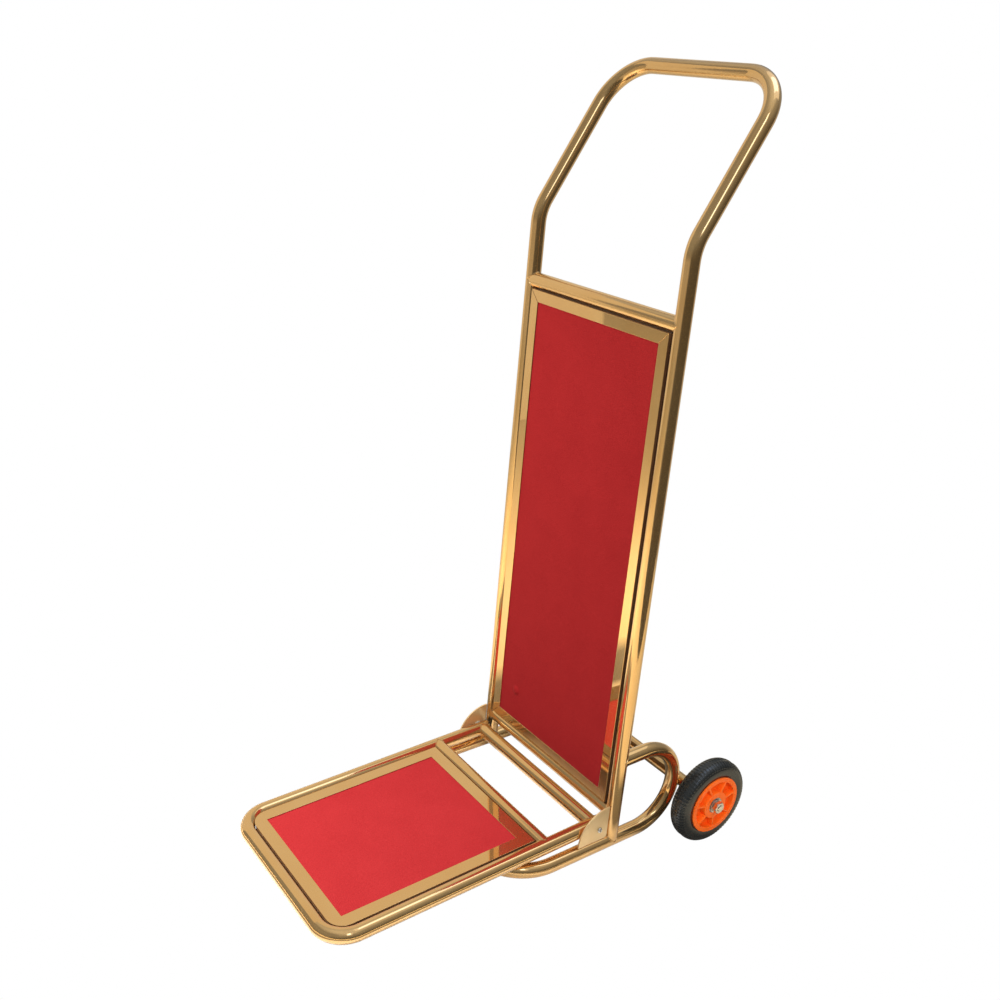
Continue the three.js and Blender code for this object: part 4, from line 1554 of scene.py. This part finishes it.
def card(name, place, width, height, glow, tone, aim=(0, 0, 0.5)):
    """A glowing card that only shows in reflections."""
    bpy.ops.mesh.primitive_plane_add(size=1)
    made = new_piece(name)
    made.scale = (width, height, 1)
    made.location = place
    facing = Vector(aim) - Vector(place)
    made.rotation_euler = facing.to_track_quat("Z", "Y").to_euler()
    paint = bpy.data.materials.new(name)
    paint.use_nodes = True
    graph = Graph(paint.node_tree)
    glowing = graph.node(
        "ShaderNodeEmission", {}, {"Color": solid(tone), "Strength": glow})
    graph.node("ShaderNodeOutputMaterial", {}, {"Surface": glowing})
    made.data.materials.append(paint)
    made.visible_camera = False
    made.visible_shadow = False
    made.visible_diffuse = False
    return made


class CART_OT_stage(bpy.types.Operator):
    """Set the floor, the soft lights and the camera."""

    bl_idname = "cart.stage"
    bl_label = "Stage"

    def execute(self, context):
        scene = context.scene
        scene.view_settings.view_transform = "Standard"
        world = bpy.data.worlds.new("studio")
        world.use_nodes = True
        studio_world(Graph(world.node_tree))
        scene.world = world
        bpy.ops.mesh.primitive_plane_add(size=1)
        floor = new_piece("studio_floor")
        floor.scale = (5.4, 5.4, 1)
        floor.location = (-1.82, -1.65, -0.0005)
        paint = bpy.data.materials.new("pale_floor_painted_shadow_ring")
        paint.use_nodes = True
        graph = Graph(paint.node_tree)
        place = graph.node("ShaderNodeNewGeometry", output="Position")
        middle_place, half_size = (0, -0.26, 0), (0.19, 0.27, 1)
        offset = graph.vector("ABSOLUTE", graph.vector("SUBTRACT", place, middle_place))
        outside = graph.vector("MAXIMUM", graph.vector("SUBTRACT", offset, half_size), (0, 0, 0))
        away = graph.vector("LENGTH", outside, output="Value")
        # Painted shadow: a dark ring on the floor, about 7 to 17 cm out from the cart's footprint,
        # stands in for the shade near the cart. The floor is pale under the cart and further out,
        # and shows only in reflections.
        graph.surface(
            Base_Color=graph.node("ShaderNodeValToRGB", {"stops": [
                (0.04, (0.76, 0.74, 0.70)), (0.07, (0.15, 0.14, 0.12)),
                (0.17, (0.17, 0.16, 0.13)), (0.23, (0.75, 0.65, 0.47))]}, {"Fac": away}),
            Roughness=0.9, Specular_IOR_Level=0.1,
        )
        floor.data.materials.append(paint)
        floor.visible_camera = False
        softbox("overhead_light", (-0.3, -0.3, 3.4), (0, -0.1, 0), 2.2, 2.2, 14)
        softbox("front_left_light", (-0.5, -0.95, 1.05), (-0.1, -0.42, 0), 0.4, 0.4, 19)
        softbox("window_light", towards(118, 32, 3.2), (0, 0, 0.4), 1.0, 1.0, 85)
        card("ceiling_strip", towards(8, 66, 3.2, (0, -0.3, 0.05)), 0.9, 1.3, 2.7, PALE_BLUE)
        card("ceiling_glow", towards(8, 64, 3.4, (0, -0.3, 0.05)), 2.0, 2.2, 0.95, COOL_WHITE)
        card("window_strip", towards(117, 40, 3.2, (0, 0.1, 1.15)), 0.42, 1.3, 3.7, PALE_BLUE)
        card("window_glow", towards(115, 38, 3.4, (0, 0.1, 1.15)), 0.85, 1.7, 0.95, COOL_WHITE)
        card("left_strip", towards(-80, 46, 3.2, (0, -0.3, 0.05)), 0.9, 0.30, 1.1, COOL_WHITE)
        card("left_wall", (-2.0, 0.4, 1.375), 4.4, 2.75, 0.66, BUFF, aim=(0, 0.4, 1.375))
        self.camera(scene)
        return {"FINISHED"}

    def camera(self, scene):
        """A normal lens ahead of the cart and to its right, looking down from handle height."""
        lens = bpy.data.cameras.new("camera")
        lens.lens = 40.24
        lens.sensor_width = 36
        lens.clip_start = 0.05
        camera = bpy.data.objects.new("camera", lens)
        right = Vector((0.577295, 0.814559, 0.056778))
        up = Vector((-0.338604, 0.175541, 0.924409))
        back = right.cross(up).normalized()
        turned = Matrix((right, up, back)).transposed().to_4x4()
        camera.matrix_world = Matrix.Translation((1.29398, -1.10759, 1.25795)) @ turned
        scene.collection.objects.link(camera)
        scene.camera = camera


# ------------------------------------------------------------------ panel and registration


STEPS = (
    CART_OT_handle, CART_OT_base, CART_OT_crossbars, CART_OT_platform_tube, CART_OT_welds,
    CART_OT_gussets, CART_OT_pivots, CART_OT_rail_caps, CART_OT_back_trim, CART_OT_deck_trim,
    CART_OT_felts, CART_OT_tabs, CART_OT_bumpers, CART_OT_tyres, CART_OT_hubs,
    CART_OT_axle_ends, CART_OT_boards, CART_OT_stage,
)
GROUPS = {
    "cart_tubes": TubeSizes,
    "cart_panels": PanelSizes,
    "cart_wheels": WheelSizes,
    "cart_colours": CartColours,
}


class CART_PT_panel(bpy.types.Panel):
    """Lists the cart's sizes, colours and steps."""

    bl_idname = "CART_PT_panel"
    bl_label = "Folding Platform Cart"
    bl_space_type = "VIEW_3D"
    bl_region_type = "UI"
    bl_category = "Cart"

    def draw(self, context):
        for group in GROUPS:
            box = self.layout.box()
            for name in getattr(context.scene, group).bl_rna.properties.keys():
                if name not in ("rna_type", "name"):
                    box.prop(getattr(context.scene, group), name)
        for step in STEPS:
            self.layout.operator(step.bl_idname)


def register():
    for group in GROUPS.values():
        bpy.utils.register_class(group)
    for step in STEPS:
        bpy.utils.register_class(step)
    bpy.utils.register_class(CART_PT_panel)
    for name, group in GROUPS.items():
        setattr(bpy.types.Scene, name, bpy.props.PointerProperty(type=group))


def unregister():
    for name in GROUPS:
        delattr(bpy.types.Scene, name)
    bpy.utils.unregister_class(CART_PT_panel)
    for step in reversed(STEPS):
        bpy.utils.unregister_class(step)
    for group in GROUPS.values():
        bpy.utils.unregister_class(group)


def main():
    register()
    for step in STEPS:
        family, action = step.bl_idname.split(".")
        getattr(getattr(bpy.ops, family), action)()
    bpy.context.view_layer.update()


if __name__ == "__main__":
    main()
